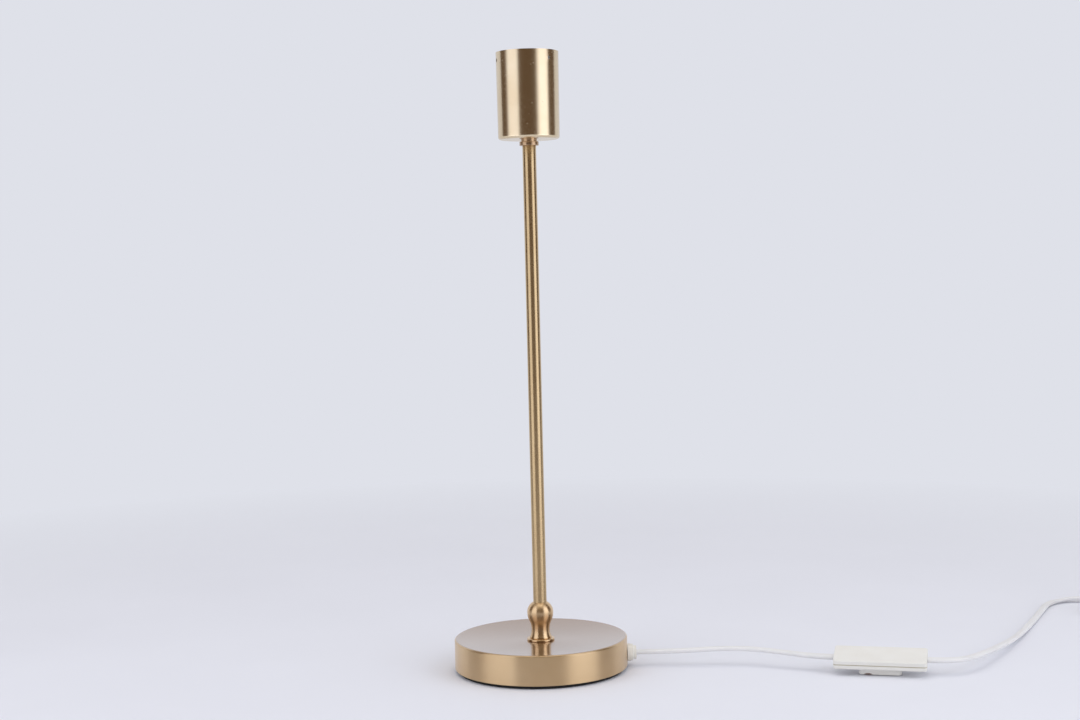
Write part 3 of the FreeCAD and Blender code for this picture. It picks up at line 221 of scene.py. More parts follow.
def place(made):
    """The object's own coordinates, in metres from the lamp's foot."""
    return add(made, "ShaderNodeTexCoord").outputs["Object"]


def placed(made, vector, location, rotation=(0, 0, 0), size=(1, 1, 1)):
    """Coordinates as seen from a place: moved, turned back and divided by size."""
    mapping = add(
        made, "ShaderNodeMapping", Vector=vector, Location=location, Rotation=rotation, Scale=size
    )
    mapping.vector_type = "TEXTURE"
    return mapping.outputs["Vector"]


def round_place(made, around, along, outward):
    """Coordinates for turning lines: they run round the axis and change with height and radius."""
    parts = add(made, "ShaderNodeSeparateXYZ", Vector=place(made))
    x, y, z = (parts.outputs[axis] for axis in "XYZ")
    square = math_node(made, "MULTIPLY_ADD", x, x, math_node(made, "MULTIPLY", y, y))
    radius = math_node(made, "SQRT", square)
    sweep = [
        math_node(made, "MULTIPLY", math_node(made, "DIVIDE", side, radius), around)
        for side in (x, y)
    ]
    height = math_node(made, "MULTIPLY_ADD", z, along, math_node(made, "MULTIPLY", radius, outward))
    return add(made, "ShaderNodeCombineXYZ", X=sweep[0], Y=sweep[1], Z=height).outputs[0]


def noise(made, vector, scale, detail=3.0, roughness=0.5):
    node = add(
        made, "ShaderNodeTexNoise", Vector=vector, Scale=scale, Detail=detail, Roughness=roughness
    )
    return node.outputs["Fac"]


def cells(made, scale):
    """Distance to the middle of the nearest of many small cells."""
    node = add(made, "ShaderNodeTexVoronoi", Vector=place(made), Scale=scale)
    return node.outputs["Distance"]


def spread(made, value, low, high, start=0.0, stop=1.0):
    """Maps a value between low and high onto start to stop."""
    node = add(made, "ShaderNodeMapRange", Value=value)
    names = ("From Min", "From Max", "To Min", "To Max")
    for name, number in zip(names, (low, high, start, stop)):
        node.inputs[name].default_value = number
    return node.outputs["Result"]


def mixed(made, share, one, two):
    """One colour turning into another by share."""
    node = made.node_tree.nodes.new("ShaderNodeMix")
    node.data_type = "RGBA"
    made.node_tree.links.new(share, node.inputs["Factor"])
    for number, colour in ((MIX_ONE, one), (MIX_TWO, two)):
        plain = isinstance(colour, (tuple, list))
        set_socket(made, node.inputs[number], linear(*colour) if plain else colour)
    return node.outputs[MIX_RESULT]


def bump(made, shader, height, strength, distance):
    node = add(made, "ShaderNodeBump", Strength=strength, Distance=distance, Height=height)
    made.node_tree.links.new(node.outputs["Normal"], shader.inputs["Normal"])


def feed(made, shader, base, roughness=None):
    """Links colour and roughness into the main shader."""
    made.node_tree.links.new(base, shader.inputs["Base Color"])
    if roughness:
        made.node_tree.links.new(roughness, shader.inputs["Roughness"])


# Materials

# Which values of a noise make the whole change from one look to the other
NOISE_SPAN = (0.3, 0.7)
LINES_SPAN = (0.25, 0.75)
MOULDED_SPAN = (0.35, 0.7)
CORD_SPAN = (0.35, 0.75)
IRON_SPAN = (0.35, 0.65)

# Scale of the turning lines' noise: round the piece, and per metre of height and of radius
COVER_LINES = (2.0, 9000.0, 5200.0)
CUP_LINES = (2.0, 7000.0, 7000.0)
TURNED_LINES = (1.0, 9000.0, 9000.0)

# Share of a full turn by which the streaks of a reflection are turned from the lines
STREAK_TURN = 0.25

# Specks in the cup's lacquer: how close and large they are, and in which patches they lie
PIT_SCALE = 240.0
PIT_EDGE = (0.05, 0.11)
WORN_SCALE = 55.0
WORN_SPAN = (0.5, 0.62)

# How upright the cover's normal is where the wall's look ends and the top's begins, and the
# looks that change on the way
WALL_TO_TOP = (0.86, 0.98)
WALL_ROUGHER = 0.22
WALL_COAT, TOP_COAT = 0.2, 0.82
COAT_ROUGHNESS = 0.12
# Painted shade: the top's tone is darker than the wall's for how light falls on it, not another
# finish
COVER_TOP_SHADE = (178, 151, 126)

# On the switch, in metres; the painted contact shadow's edge in shares of its size
SEAM_EDGE = (0.0002, 0.00055)
SHADOW_SPOT_CENTRE = (-0.0085, -0.009, -0.0084)
SHADOW_SPOT_SIZE = (0.0032, 0.003, 0.0011)
SHADOW_SPOT_EDGE = (0.9, 1.35)


def brass(name, light, dark, smooth, rough, lines_at, streak=0.0, specks=0.0):
    """Lacquered brass with its main shader: fine turning lines and a slow drift of tone.

    Streak draws reflections out across the turning lines, as a turned or brushed surface does.
    Specks is how much rougher the lacquer is where it is pitted.
    """
    made, shader = material(name, light, smooth, metallic=1.0)
    lines = noise(made, round_place(made, *lines_at), scale=1.0, detail=6.0, roughness=0.62)
    drift = noise(made, place(made), scale=38.0)
    tone = mixed(made, spread(made, drift, *NOISE_SPAN), light, dark)
    polish = spread(made, lines, *LINES_SPAN, smooth, rough)
    if specks:
        worn = spread(made, noise(made, place(made), WORN_SCALE, detail=2.0), *WORN_SPAN)
        pits = spread(made, cells(made, PIT_SCALE), *PIT_EDGE, specks, 0.0)
        polish = math_node(made, "ADD", polish, math_node(made, "MULTIPLY", pits, worn))
    feed(made, shader, tone, polish)
    if streak:
        tangent = made.node_tree.nodes.new("ShaderNodeTangent")
        tangent.direction_type = "RADIAL"
        tangent.axis = "Z"
        made.node_tree.links.new(tangent.outputs[0], shader.inputs["Tangent"])
        shader.inputs["Anisotropic"].default_value = streak
        shader.inputs["Anisotropic Rotation"].default_value = STREAK_TURN
    bump(made, shader, lines, strength=0.10, distance=0.00006)
    return made, shader, tone, polish


def plain_brass(*looks, **more):
    return brass(*looks, **more)[0]


def cover_lacquer():
    """The cover's lacquered brass: satin on the wall, smoother on top with painted shade."""
    made, shader, tone, polish = brass(
        "cover_brass", (231, 202, 160), (225, 194, 150), 0.13, 0.20, COVER_LINES, streak=1.0
    )
    normal = add(made, "ShaderNodeTexCoord").outputs["Normal"]
    facing = add(made, "ShaderNodeSeparateXYZ", Vector=normal)
    level = math_node(made, "ABSOLUTE", facing.outputs["Z"])
    rougher = spread(made, level, *WALL_TO_TOP, WALL_ROUGHER, 0.0)
    # Painted shade: the tone darkens where the normal points up, on the cover's top
    tone = mixed(made, spread(made, level, *WALL_TO_TOP), tone, COVER_TOP_SHADE)
    feed(made, shader, tone, math_node(made, "ADD", polish, rougher))
    coat = spread(made, level, *WALL_TO_TOP, WALL_COAT, TOP_COAT)
    made.node_tree.links.new(coat, shader.inputs["Coat Weight"])
    shader.inputs["Coat Roughness"].default_value = COAT_ROUGHNESS
    return made


def moulded(name, base, shade, roughness, shade_marks=()):
    """Moulded plastic with a faint cloudy tone and a fine sparked grain.

    Each shade mark is a function that gives where painted shade lies and the colour it has there.
    """
    made, shader = material(name, base, roughness)
    clouds = noise(made, place(made), scale=60.0)
    fine = noise(made, place(made), scale=2600.0, detail=2.0)
    tone = mixed(made, spread(made, clouds, *MOULDED_SPAN), base, shade)
    for lies_at, colour in shade_marks:
        tone = mixed(made, lies_at(made), tone, colour)
    polish = spread(made, fine, *NOISE_SPAN, roughness - 0.06, roughness + 0.08)
    feed(made, shader, tone, polish)
    bump(made, shader, fine, strength=0.15, distance=0.00004)
    return made


def on_switch(made):
    """Coordinates in the switch's own frame, in metres."""
    centre = [value * MM for value in SWITCH_CENTRE]
    return placed(made, place(made), centre, (SWITCH_ROLL, 0, SWITCH_YAW))


def seam_shade(made):
    """Painted shade along the groove between the switch's two shells."""
    # Painted shade: darker within a thin band about the seam
    height = add(made, "ShaderNodeSeparateXYZ", Vector=on_switch(made)).outputs["Z"]
    return spread(made, math_node(made, "ABSOLUTE", height), *SEAM_EDGE, 0.7, 0.0)


def contact_shadow_spot(made):
    """Painted contact shadow on the rocker housing's lower edge, by the floor; ragged at its rim.
    """
    spot = placed(made, on_switch(made), SHADOW_SPOT_CENTRE, size=SHADOW_SPOT_SIZE)
    ragged = noise(made, place(made), scale=1500.0)
    reach = math_node(made, "MULTIPLY_ADD", ragged, 0.6, length_of(made, spot))
    return spread(made, reach, *SHADOW_SPOT_EDGE, 0.9, 0.0)


def metal(name, base, shade, smooth, rough, scale):
    """Bare or plated metal whose tone and polish vary from place to place."""
    made, shader = material(name, base, smooth, metallic=1.0)
    spots = noise(made, place(made), scale, detail=5.0, roughness=0.6)
    tone = mixed(made, spread(made, spots, *NOISE_SPAN), base, shade)
    feed(made, shader, tone, spread(made, spots, *NOISE_SPAN, smooth, rough))
    bump(made, shader, spots, strength=0.25, distance=0.0001)
    return made


def foam():
    made, shader = material("foam", (34, 33, 35), 0.9)
    bubbles = cells(made, scale=1500.0)
    feed(made, shader, mixed(made, bubbles, (52, 50, 52), (18, 18, 19)))
    bump(made, shader, bubbles, strength=0.6, distance=0.0003)
    return made


def iron():
    made, shader = material("iron", (62, 62, 64), 0.75, metallic=0.6)
    rough = noise(made, place(made), scale=420.0, detail=6.0, roughness=0.7)
    feed(made, shader, mixed(made, spread(made, rough, *IRON_SPAN), (44, 44, 47), (84, 80, 76)))
    bump(made, shader, rough, strength=0.7, distance=0.0004)
    return made


def cord_white():
    """Soft PVC: milky, with a faint cloudy tone and a fine grain."""
    made, shader = material("cord_white", (225, 224, 224), 0.42)
    clouds = noise(made, place(made), scale=45.0, detail=2.0)
    tone = mixed(made, spread(made, clouds, *CORD_SPAN), (227, 226, 226), (221, 220, 220))
    feed(made, shader, tone, spread(made, clouds, *NOISE_SPAN, 0.40, 0.46))
    shader.inputs["Subsurface Weight"].default_value = 0.12
    shader.inputs["Subsurface Scale"].default_value = 0.0012
    shader.inputs["Subsurface Radius"].default_value = (1.0, 0.9, 0.8)
    grain = noise(made, place(made), scale=900.0, detail=2.0)
    bump(made, shader, grain, strength=0.05, distance=0.00003)
    return made


cover_brass = cover_lacquer()
cup_brass = plain_brass(
    "cup_brass", (231, 214, 184), (224, 204, 171), 0.16, 0.26, CUP_LINES, specks=0.4
)
collar_brass = plain_brass(
    "collar_brass", (196, 168, 138), (176, 147, 117), 0.22, 0.32, CUP_LINES
)
turned_brass = plain_brass(
    "turned_brass", (206, 181, 140), (198, 171, 130), 0.24, 0.32, TURNED_LINES, streak=0.9
)
foot_brass = plain_brass(
    "foot_brass", (231, 201, 159), (222, 190, 148), 0.25, 0.33, TURNED_LINES, streak=0.85
)
white_plastic = moulded("white_plastic", (230, 227, 219), (226, 223, 214), 0.38)
switch_plastic = moulded(
    "switch_plastic",
    (229, 227, 221),
    (226, 223, 216),
    0.38,
    # Painted shade on the switch: along the seam groove, and a contact shadow on its lower edge
    shade_marks=[(seam_shade, (168, 157, 124)), (contact_shadow_spot, (104, 72, 60))],
)
holder_plastic = moulded("holder_plastic", (236, 236, 232), (226, 226, 222), 0.34)
white_cord = cord_white()
foam_black = foam()
cast_iron = iron()
zinc = metal("zinc", (186, 186, 182), (160, 160, 158), 0.24, 0.42, 300.0)
contact_brass = metal("contact_brass", (214, 184, 116), (198, 164, 96), 0.22, 0.38, 500.0)
nickel = metal("nickel", (206, 204, 196), (188, 186, 178), 0.12, 0.26, 400.0)
brown_core = moulded("brown_core", (92, 54, 34), (80, 46, 30), 0.4)
blue_core = moulded("blue_core", (40, 92, 168), (34, 82, 152), 0.4)

SLOT_MATERIALS = {
    "brass": turned_brass,
    "iron": cast_iron,
    "foam": foam_black,
    "zinc": zinc,
    "white_moulding": white_plastic,
    "contact_brass": contact_brass,
    "nickel": nickel,
    "white_cord": white_cord,
    "brown_core": brown_core,
    "blue_core": blue_core,
}
NODE_MATERIALS = {
    "holder_cap": holder_plastic,
    "holder_core": holder_plastic,
    "holder_skirt": holder_plastic,
    "holder_cup": cup_brass,
    "switch_back": switch_plastic,
    "switch_front": switch_plastic,
}
SLOT_OF = {part["node"]: part["material_slot"] for part in frame["record"]["subparts"]}


def paint_nodes():
    """Every CAD node gets the material of its slot or one of its own."""
    for name, node in frame["nodes"].items():
        node.data.materials.clear()
        node.data.materials.append(NODE_MATERIALS.get(name, SLOT_MATERIALS[SLOT_OF[name]]))


# Turned pieces


def new_piece(name, mesh, made, nodes):
    """A piece of the lamp that stands for CAD nodes."""
    piece = bpy.data.objects.new(name, mesh)
    bpy.context.scene.collection.objects.link(piece)
    mesh.materials.append(made)
    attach(piece, "lamp")
    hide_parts(*nodes)
    return piece


def arc(start, end, radius, side, steps):
    """Points of the arc from start to end, start left out; side 1 has its centre to the left."""
    (x0, z0), (x1, z1) = start, end
    chord = Vector((x1 - x0, z1 - z0))
    rise = math.sqrt(max(radius**2 - (chord.length / 2) ** 2, 0))
    middle = Vector(((x0 + x1) / 2, (z0 + z1) / 2))
    centre = middle + Vector((-chord.y, chord.x)).normalized() * rise * side
    begin = math.atan2(z0 - centre.y, x0 - centre.x)
    stop = math.atan2(z1 - centre.y, x1 - centre.x)
    sweep = (stop - begin + math.pi) % (2 * math.pi) - math.pi
    angles = [begin + sweep * n / steps for n in range(1, steps + 1)]
    return [(centre.x + radius * math.cos(a), centre.y + radius * math.sin(a)) for a in angles]


def outline_points(corners):
    """Corners (r, z); radius, side and steps after them make the way to that corner an arc."""
    points = []
    for corner in corners:
        if len(corner) > 2:
            points += arc(points[-1], corner[:2], *corner[2:])
        else:
            points.append(corner)
    return points


def lathe(name, corners, made, nodes, segments=192, sharp=28, press=None):
    """A closed outline in millimetres turned about the lamp's axis.

    Edges sharper than so many degrees stay crisp. Press says how far a point goes in.
    """
    points = outline_points(corners)
    vertices = []
    for number in range(segments):
        angle = 2 * math.pi * number / segments
        for r, z in points:
            radius = r - press(r, z, angle) if press else r
            vertices.append((radius * MM * math.cos(angle), radius * MM * math.sin(angle), z * MM))
    count = len(points)
    faces = []
    for number in range(segments):
        one, two = number * count, (number + 1) % segments * count
        for step in range(count):
            following = (step + 1) % count
            faces.append((one + step, two + step, two + following, one + following))
    mesh = bpy.data.meshes.new(name)
    mesh.from_pydata(vertices, [], faces)
    mesh.shade_smooth()
    mesh.set_sharp_from_angle(angle=math.radians(sharp))
    return new_piece(name, mesh, made, nodes)


def dome(chord, rise):
    """Radius of the arc over a half chord with that rise, level at one end."""
    return (chord**2 + rise**2) / (2 * rise)


def node_box(name):
    """A CAD node's lowest and highest corner in millimetres."""
    low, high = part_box(name)
    return Vector(low) / MM, Vector(high) / MM


def make_base():
    """The cover: rolled lower rim, rounded edge and a top that sinks towards the knob."""
    low, high = node_box("base_cover")
    radius, bottom, rim = high.x, low.z, high.z
    seat = rim - COVER_DISH
    flat_edge = radius - COVER_EDGE
    slope = dome(flat_edge - SEAT_RADIUS, COVER_DISH)
    inner = radius - COVER_WALL
    under = dome(inner - SEAT_RADIUS, COVER_DISH)
    lip = COVER_WALL / 2
    outline = [
        (inner + lip / 2, bottom),
        (radius - lip / 2, bottom),
        (radius, bottom + lip / 2, lip / 2, 1, 4),
        (radius, rim - COVER_EDGE),
        (flat_edge, rim, COVER_EDGE, 1, 14),
        (SEAT_RADIUS, seat, slope, -1, 40),
        (BORE_RADIUS, seat),
        (BORE_RADIUS, seat - COVER_WALL),
        (SEAT_RADIUS, seat - COVER_WALL),
        (inner, rim - COVER_WALL - lip, under, 1, 24),
        (inner, bottom + lip / 2),
    ]
    lathe("cover_skin", outline, cover_brass, ["base_cover"], segments=256)


def make_foot():
    """The ring on the cover and the turned knob above it."""
    low, high = node_box("foot_ring")
    ring = [
        (high.x - RING_BEVEL, low.z),
        (high.x, low.z + RING_BEVEL, RING_BEVEL, 1, 5),
        (high.x, high.z - RING_BEVEL),
        (high.x - RING_BEVEL, high.z, RING_BEVEL, 1, 5),
        (BORE_RADIUS, high.z),
        (BORE_RADIUS, low.z),
    ]
    lathe("foot_ring_turned", ring, foot_brass, ["foot_ring"])

    low, high = node_box("foot_knob")
    base, height = low.z, high.z - low.z
    drop = KNOB_BELLY[0] - KNOB_NECK[0]
    span = KNOB_BELLY[1] - KNOB_NECK[1]
    both = dome(span, drop)
    hollow = 1 - BELLY_SHARE
    join = (KNOB_NECK[0] + hollow * drop, base + KNOB_NECK[1] + hollow * span)
    flare_arc = dome(KNOB_NECK[1] - KNOB_FLARE[1], KNOB_FLARE[0] - KNOB_NECK[0])
    top_arc = dome(height - KNOB_BELLY[1], KNOB_BELLY[0] - KNOB_TOP_RADIUS)
    knob = [
        (KNOB_FLARE[0] - KNOB_LIP, base),
        (KNOB_FLARE[0], base + KNOB_LIP, KNOB_LIP, 1, 4),
        (KNOB_FLARE[0], base + KNOB_FLARE[1]),
        (KNOB_NECK[0], base + KNOB_NECK[1], flare_arc, -1, 14),
        (*join, hollow * both, -1, 16),
        (KNOB_BELLY[0], base + KNOB_BELLY[1], BELLY_SHARE * both, 1, 16),
        (KNOB_TOP_RADIUS, base + height, top_arc, 1, 20),
        (BORE_RADIUS, base + height),
        (BORE_RADIUS, base),
    ]
    lathe("foot_knob_turned", knob, foot_brass, ["foot_knob"])


def make_stem():
    """The tube with its two threads, and the collar under the cup."""
    low, high = node_box("stem_tube")
    top_thread = node_box("holder_cup")[0].z
    bottom_thread = node_box("base_weight")[1].z
    pitch = STEM_THREAD_PITCH
    root, edge = STEM_RADIUS - STEM_THREAD_DEPTH, STEM_RADIUS - STEM_CHAMFER
    lower = []
    for number in range(int((bottom_thread - low.z) / pitch)):
        z = low.z + STEM_CHAMFER + number * pitch
        lower += [(root, z), (STEM_RADIUS, z + pitch / 2)]
    upper = []
    for number in range(int((high.z - STEM_CHAMFER - top_thread) / pitch)):
        z = top_thread + number * pitch
        upper += [(STEM_RADIUS, z + pitch / 4), (root, z + 3 * pitch / 4)]
    tube = [
        (edge, low.z),
        *lower,
        (STEM_RADIUS, bottom_thread),
        *upper,
        (edge, high.z),
        (STEM_RADIUS - STEM_WALL, high.z),
        (STEM_RADIUS - STEM_WALL, low.z),
    ]
    lathe("stem_turned", tube, turned_brass, ["stem_tube"], segments=96)

    low, high = node_box("top_collar")
    shoulder = high.z - COLLAR_NECK
    collar = [
        (high.x - COLLAR_EDGE, low.z),
        (high.x, low.z + COLLAR_EDGE, COLLAR_EDGE, 1, 5),
        (high.x, shoulder - COLLAR_EDGE),
        (high.x - COLLAR_EDGE, shoulder, COLLAR_EDGE, 1, 5),
        (COLLAR_NECK_RADIUS, shoulder),
        (COLLAR_NECK_RADIUS, high.z),
        (BORE_RADIUS, high.z),
        (BORE_RADIUS, low.z),
    ]
    lathe("collar_turned", collar, collar_brass, ["top_collar"], segments=96)


def make_screw_shell():
    """The bulb's screw shell: thin sheet with a round thread rolled into it."""
    low, high = node_box("thread_shell")
    outer, shoulder = high.x, low.z + SHELL_STEP_HEIGHT
    inner, step_outer = outer - SHELL_WALL, outer - SHELL_STEP
    stop = high.z - SHELL_THREAD_MOUTH

    def press(r, z, angle):
        """The thread's depth there: none on the step below, and fading out at both ends."""
        near = min((z - shoulder) / SHELL_THREAD_FADE, (stop - z) / SHELL_THREAD_FADE, 1)
        if near <= 0 or r < inner - SHELL_WALL / 2:
            return 0
        wave = 0.5 - 0.5 * math.cos(2 * math.pi * z / SHELL_THREAD_PITCH - angle)
        return SHELL_THREAD_DEPTH * near * wave

    rows = [
        shoulder + (high.z - shoulder) * number / SHELL_THREAD_ROWS
        for number in range(SHELL_THREAD_ROWS + 1)
    ]
    outline = [
        (step_outer, low.z),
        (step_outer, shoulder - SHELL_WALL),
        (outer, shoulder - SHELL_WALL),
        *[(outer, z) for z in rows],
        *[(inner, z) for z in reversed(rows)],
        (step_outer - SHELL_WALL, shoulder),
        (step_outer - SHELL_WALL, low.z + SHELL_WALL),
        (SHELL_FOOT_RADIUS, low.z + SHELL_WALL),
        (SHELL_FOOT_RADIUS, low.z),
    ]
    lathe(
        "screw_shell_rolled",
        outline,
        nickel,
        ["thread_shell"],
        segments=144,
        sharp=50,
        press=press,
    )


# Camera, as fitted to the photograph: millimetres and radians

CAMERA_DISTANCE = 1246.57
CAMERA_HEIGHT = 303.5
CAMERA_PITCH = 0.0591
CAMERA_ROLL = -0.0236
CAMERA_YAW = 0.0034
FOCAL_PIXELS = 1696.86
PICTURE = (1080, 720)
SENSOR = 36.0
CLIP_END_METRES = 30


def make_camera():
    forward = Vector(
        (
            math.sin(CAMERA_YAW) * math.cos(CAMERA_PITCH),
            math.cos(CAMERA_YAW) * math.cos(CAMERA_PITCH),
            -math.sin(CAMERA_PITCH),
        )
    )
    level = Vector((math.cos(CAMERA_YAW), -math.sin(CAMERA_YAW), 0))
    above = level.cross(forward)
    right = level * math.cos(CAMERA_ROLL) + above * math.sin(CAMERA_ROLL)
    top = above * math.cos(CAMERA_ROLL) - level * math.sin(CAMERA_ROLL)
    data = bpy.data.cameras.new("camera")
    data.sensor_width = SENSOR
    data.lens = FOCAL_PIXELS * SENSOR / PICTURE[0]
    data.clip_end = CLIP_END_METRES
    camera = bpy.data.objects.new("camera", data)
    rotation = Matrix((right, top, -forward)).transposed()
    position = Vector((0, -CAMERA_DISTANCE, CAMERA_HEIGHT)) * MM
    camera.matrix_world = Matrix.Translation(position) @ rotation.to_4x4()
    scene = bpy.context.scene
    scene.collection.objects.link(camera)
    scene.camera = camera
    scene.render.resolution_x, scene.render.resolution_y = PICTURE
    scene.render.resolution_percentage = 100
    scene.view_settings.view_transform = "Standard"


# Light: sizes and places in metres. The lights' own colours are linear, the others go from 0
# to 255.

COOL = (0.97, 1.02, 1.14)
WHITE = (1, 1, 1)

PALE = (223, 225, 233)
PAPER = (228, 229, 236)
PAPER_MOTTLE = 2
NEAR_TO_FAR = (0.45, 1.1)
ROOM = (96, 76, 56)
CEILING = (160, 150, 138)
OVERHEAD = (0.5, 0.88)
FILL = (241, 239, 238)
FILL_STRENGTH = 0.74

FLOOR_FRONT = -3.0
BACKDROP_AT = 2.2
BACKDROP_TOP = 3.2
SWEEP_BEND = 0.9
SWEEP_STEPS = 16
SWEEP_HALF_WIDTH = 4.7


def softbox(name, azimuth, distance, height, size, radiance, colour):
    """A rectangular light that faces the lamp's axis.

    Azimuth 0 is the camera's side, and a positive one lies to its right.
    """
    wide, tall = size
    data = bpy.data.lights.new(name, "AREA")
    data.shape = "RECTANGLE"
    data.size, data.size_y = wide, tall
    data.energy = math.pi * wide * tall * radiance
    data.color = colour
    lamp = bpy.data.objects.new(name, data)
    turn = math.radians(azimuth)
    outward = Vector((math.sin(turn) * distance, -math.cos(turn) * distance, 0))
    aim = outward.to_track_quat("Z", "Y").to_matrix().to_4x4()
    lamp.matrix_world = Matrix.Translation(outward + UP * height) @ aim
    bpy.context.scene.collection.objects.link(lamp)
    return lamp


def fade_edges(lamp, *edges):
    """Lets a softbox fade out towards its upright edges.

    Each edge says at which share of the width it is dark, and where it is fully lit.
    """
    data = lamp.data
    data.use_nodes = True
    nodes, links = data.node_tree.nodes, data.node_tree.links
    surface = nodes.new("ShaderNodeNewGeometry")
    across = nodes.new("ShaderNodeSeparateXYZ")
    links.new(surface.outputs["Parametric"], across.inputs[0])
    both = nodes.new("ShaderNodeMath")
    both.operation = "MULTIPLY"
    for socket, (dark, full) in zip(both.inputs, edges):
        ramp = nodes.new("ShaderNodeMapRange")
        ramp.interpolation_type = "SMOOTHSTEP"
        links.new(across.outputs["X"], ramp.inputs["Value"])
        ramp.inputs["From Min"].default_value = dark
        ramp.inputs["From Max"].default_value = full
        links.new(ramp.outputs["Result"], socket)
    links.new(both.outputs[0], nodes["Emission"].inputs["Strength"])


def make_light():
    """Two softboxes in front, one to each side, and one overhead that shines straight down."""
    left = softbox("left_softbox", -60.0, 1.3, 0.9, (1.45, 1.8), 1.08, COOL)
    right = softbox("right_softbox", 55.0, 1.3, 0.9, (1.4, 1.8), 1.42, COOL)
    fade_edges(left, (0.0, 0.3), (1.0, 0.84))
    fade_edges(right, (0.0, 0.36), (1.0, 0.82))
    top = softbox("top_softbox", 0.0, 0.05, 1.9, (1.2, 1.8), 0.95, WHITE)
    top.rotation_euler = (0, 0, 0)


def glow(tree, colour, strength=1.0):
    """A plain glow for the world or for a surface that shows the background."""
    of_world = tree.nodes.get("World Output")
    node = tree.nodes.new("ShaderNodeBackground" if of_world else "ShaderNodeEmission")
    node.inputs["Color"].default_value = linear(*colour)
    node.inputs["Strength"].default_value = strength
    return node.outputs[0]


def choose(tree, share, one, two):
    node = tree.nodes.new("ShaderNodeMixShader")
    for socket, value in zip(node.inputs, (share, one, two)):
        tree.links.new(value, socket)
    return node.outputs[0]


def make_world():
    """Pale for the camera and a soft fill for matt things.

    Polished ones show a dim room that is paler overhead.
    """
    world = bpy.data.worlds.new("studio")
    bpy.context.scene.world = world
    world.use_nodes = True
    tree = world.node_tree
    path = tree.nodes.new("ShaderNodeLightPath")
    towards = add(world, "ShaderNodeTexCoord").outputs["Generated"]
    direction = add(world, "ShaderNodeSeparateXYZ", Vector=towards)
    overhead = spread(world, direction.outputs["Z"], *OVERHEAD)
    room = choose(tree, overhead, glow(tree, ROOM), glow(tree, CEILING))
    fill = glow(tree, FILL, FILL_STRENGTH)
    seen = choose(tree, path.outputs["Is Glossy Ray"], fill, room)
    seen = choose(tree, path.outputs["Is Camera Ray"], seen, glow(tree, PALE))
    tree.links.new(seen, tree.nodes["World Output"].inputs["Surface"])


def paper():
    """Matt paper near the lamp, where it keeps the shadows; further off it shows PALE."""
    made, shader = material("paper", PAPER, 0.9)
    mottled = noise(made, place(made), scale=6.0, detail=4.0)
    lighter = [value + PAPER_MOTTLE for value in PAPER]
    feed(made, shader, mixed(made, spread(made, mottled, *NOISE_SPAN), PAPER, lighter))
    tree = made.node_tree
    path = tree.nodes.new("ShaderNodeLightPath")
    seen = path.outputs["Is Camera Ray"]
    for kind in ("Is Glossy Ray", "Is Transmission Ray"):
        seen = math_node(made, "MAXIMUM", seen, path.outputs[kind])
    far = spread(made, length_of(made, place(made)), *NEAR_TO_FAR)
    share = math_node(made, "MULTIPLY", seen, far)
    shown = choose(tree, share, shader.outputs[0], glow(tree, PALE))
    tree.links.new(shown, tree.nodes["Material Output"].inputs["Surface"])
    return made


def make_floor():
    """A pale sweep: floor in front, bending up into the backdrop behind."""
    bend_at = BACKDROP_AT - SWEEP_BEND
    profile = [(FLOOR_FRONT, 0.0), (bend_at, 0.0)]
    for number in range(1, SWEEP_STEPS + 1):
        angle = math.pi / 2 * number / SWEEP_STEPS
        rise = SWEEP_BEND - SWEEP_BEND * math.cos(angle)
        profile.append((bend_at + SWEEP_BEND * math.sin(angle), rise))
    profile.append((BACKDROP_AT, BACKDROP_TOP))
    mesh = bpy.data.meshes.new("sweep")
    vertices = [(side * SWEEP_HALF_WIDTH, y, z) for side in (-1, 1) for y, z in profile]
    count = len(profile)
    faces = [(n, n + count, n + count + 1, n + 1) for n in range(count - 1)]
    mesh.from_pydata(vertices, [], faces)
    mesh.shade_smooth()
    mesh.materials.append(paper())
    sweep = bpy.data.objects.new("sweep", mesh)
    bpy.context.scene.collection.objects.link(sweep)


# Cords


def eased(share):
    """A share from 0 to 1 that starts and stops gently."""
    return share**2 * (3 - 2 * share)


def coil_points():
    """Control points of the turns: in below, up half a turn, out above."""
    turns = TURNS_IN + CLIMB_TURNS + TURNS_OUT
    inmost = TURNS_IN + CLIMB_TURNS / 2
    points = []
    for number in range(round(turns * POINTS_PER_TURN) + 1):
        turn = number / POINTS_PER_TURN
        radius = COIL_RADIUS - COIL_PITCH * (inmost - abs(turn - inmost))
        share = min(max((turn - TURNS_IN) / CLIMB_TURNS, 0), 1)
        height = COIL_LOW + LAYER_PITCH * eased(share)
        angle = COIL_START - 2 * math.pi * turn
        x = COIL_CENTRE[0] + radius * math.cos(angle)
        y = COIL_CENTRE[1] + radius * math.sin(angle)
        points.append(Vector((x, y, height)))
    return points


def spline_line(name, points):
    """The points of the smooth line that a route's points steer, in metres."""
    data = bpy.data.curves.new(name, "CURVE")
    data.dimensions = "3D"
    spline = data.splines.new("NURBS")
    spline.points.add(len(points) - 1)
    for target, point in zip(spline.points, points):
        target.co = (*(Vector(point) * MM), 1)
    spline.order_u = ROUTE_ORDER
    spline.use_endpoint_u = True
    spline.resolution_u = ROUTE_STEPS
    guide = bpy.data.objects.new(name, data)
    mesh = bpy.data.meshes.new_from_object(guide)
    line = [vertex.co.copy() for vertex in mesh.vertices]
    bpy.data.meshes.remove(mesh)
    bpy.data.objects.remove(guide)
    bpy.data.curves.remove(data)
    return line


def station_value(stations, distance):
    """A value that eases from one station (distance, value) to the next."""
    if distance <= stations[0][0]:
        return stations[0][1]
    for (from_at, from_value), (to_at, to_value) in zip(stations, stations[1:]):
        if distance <= to_at:
            share = (distance - from_at) / (to_at - from_at)
            return from_value + (to_value - from_value) * eased(share)
    return stations[-1][1]


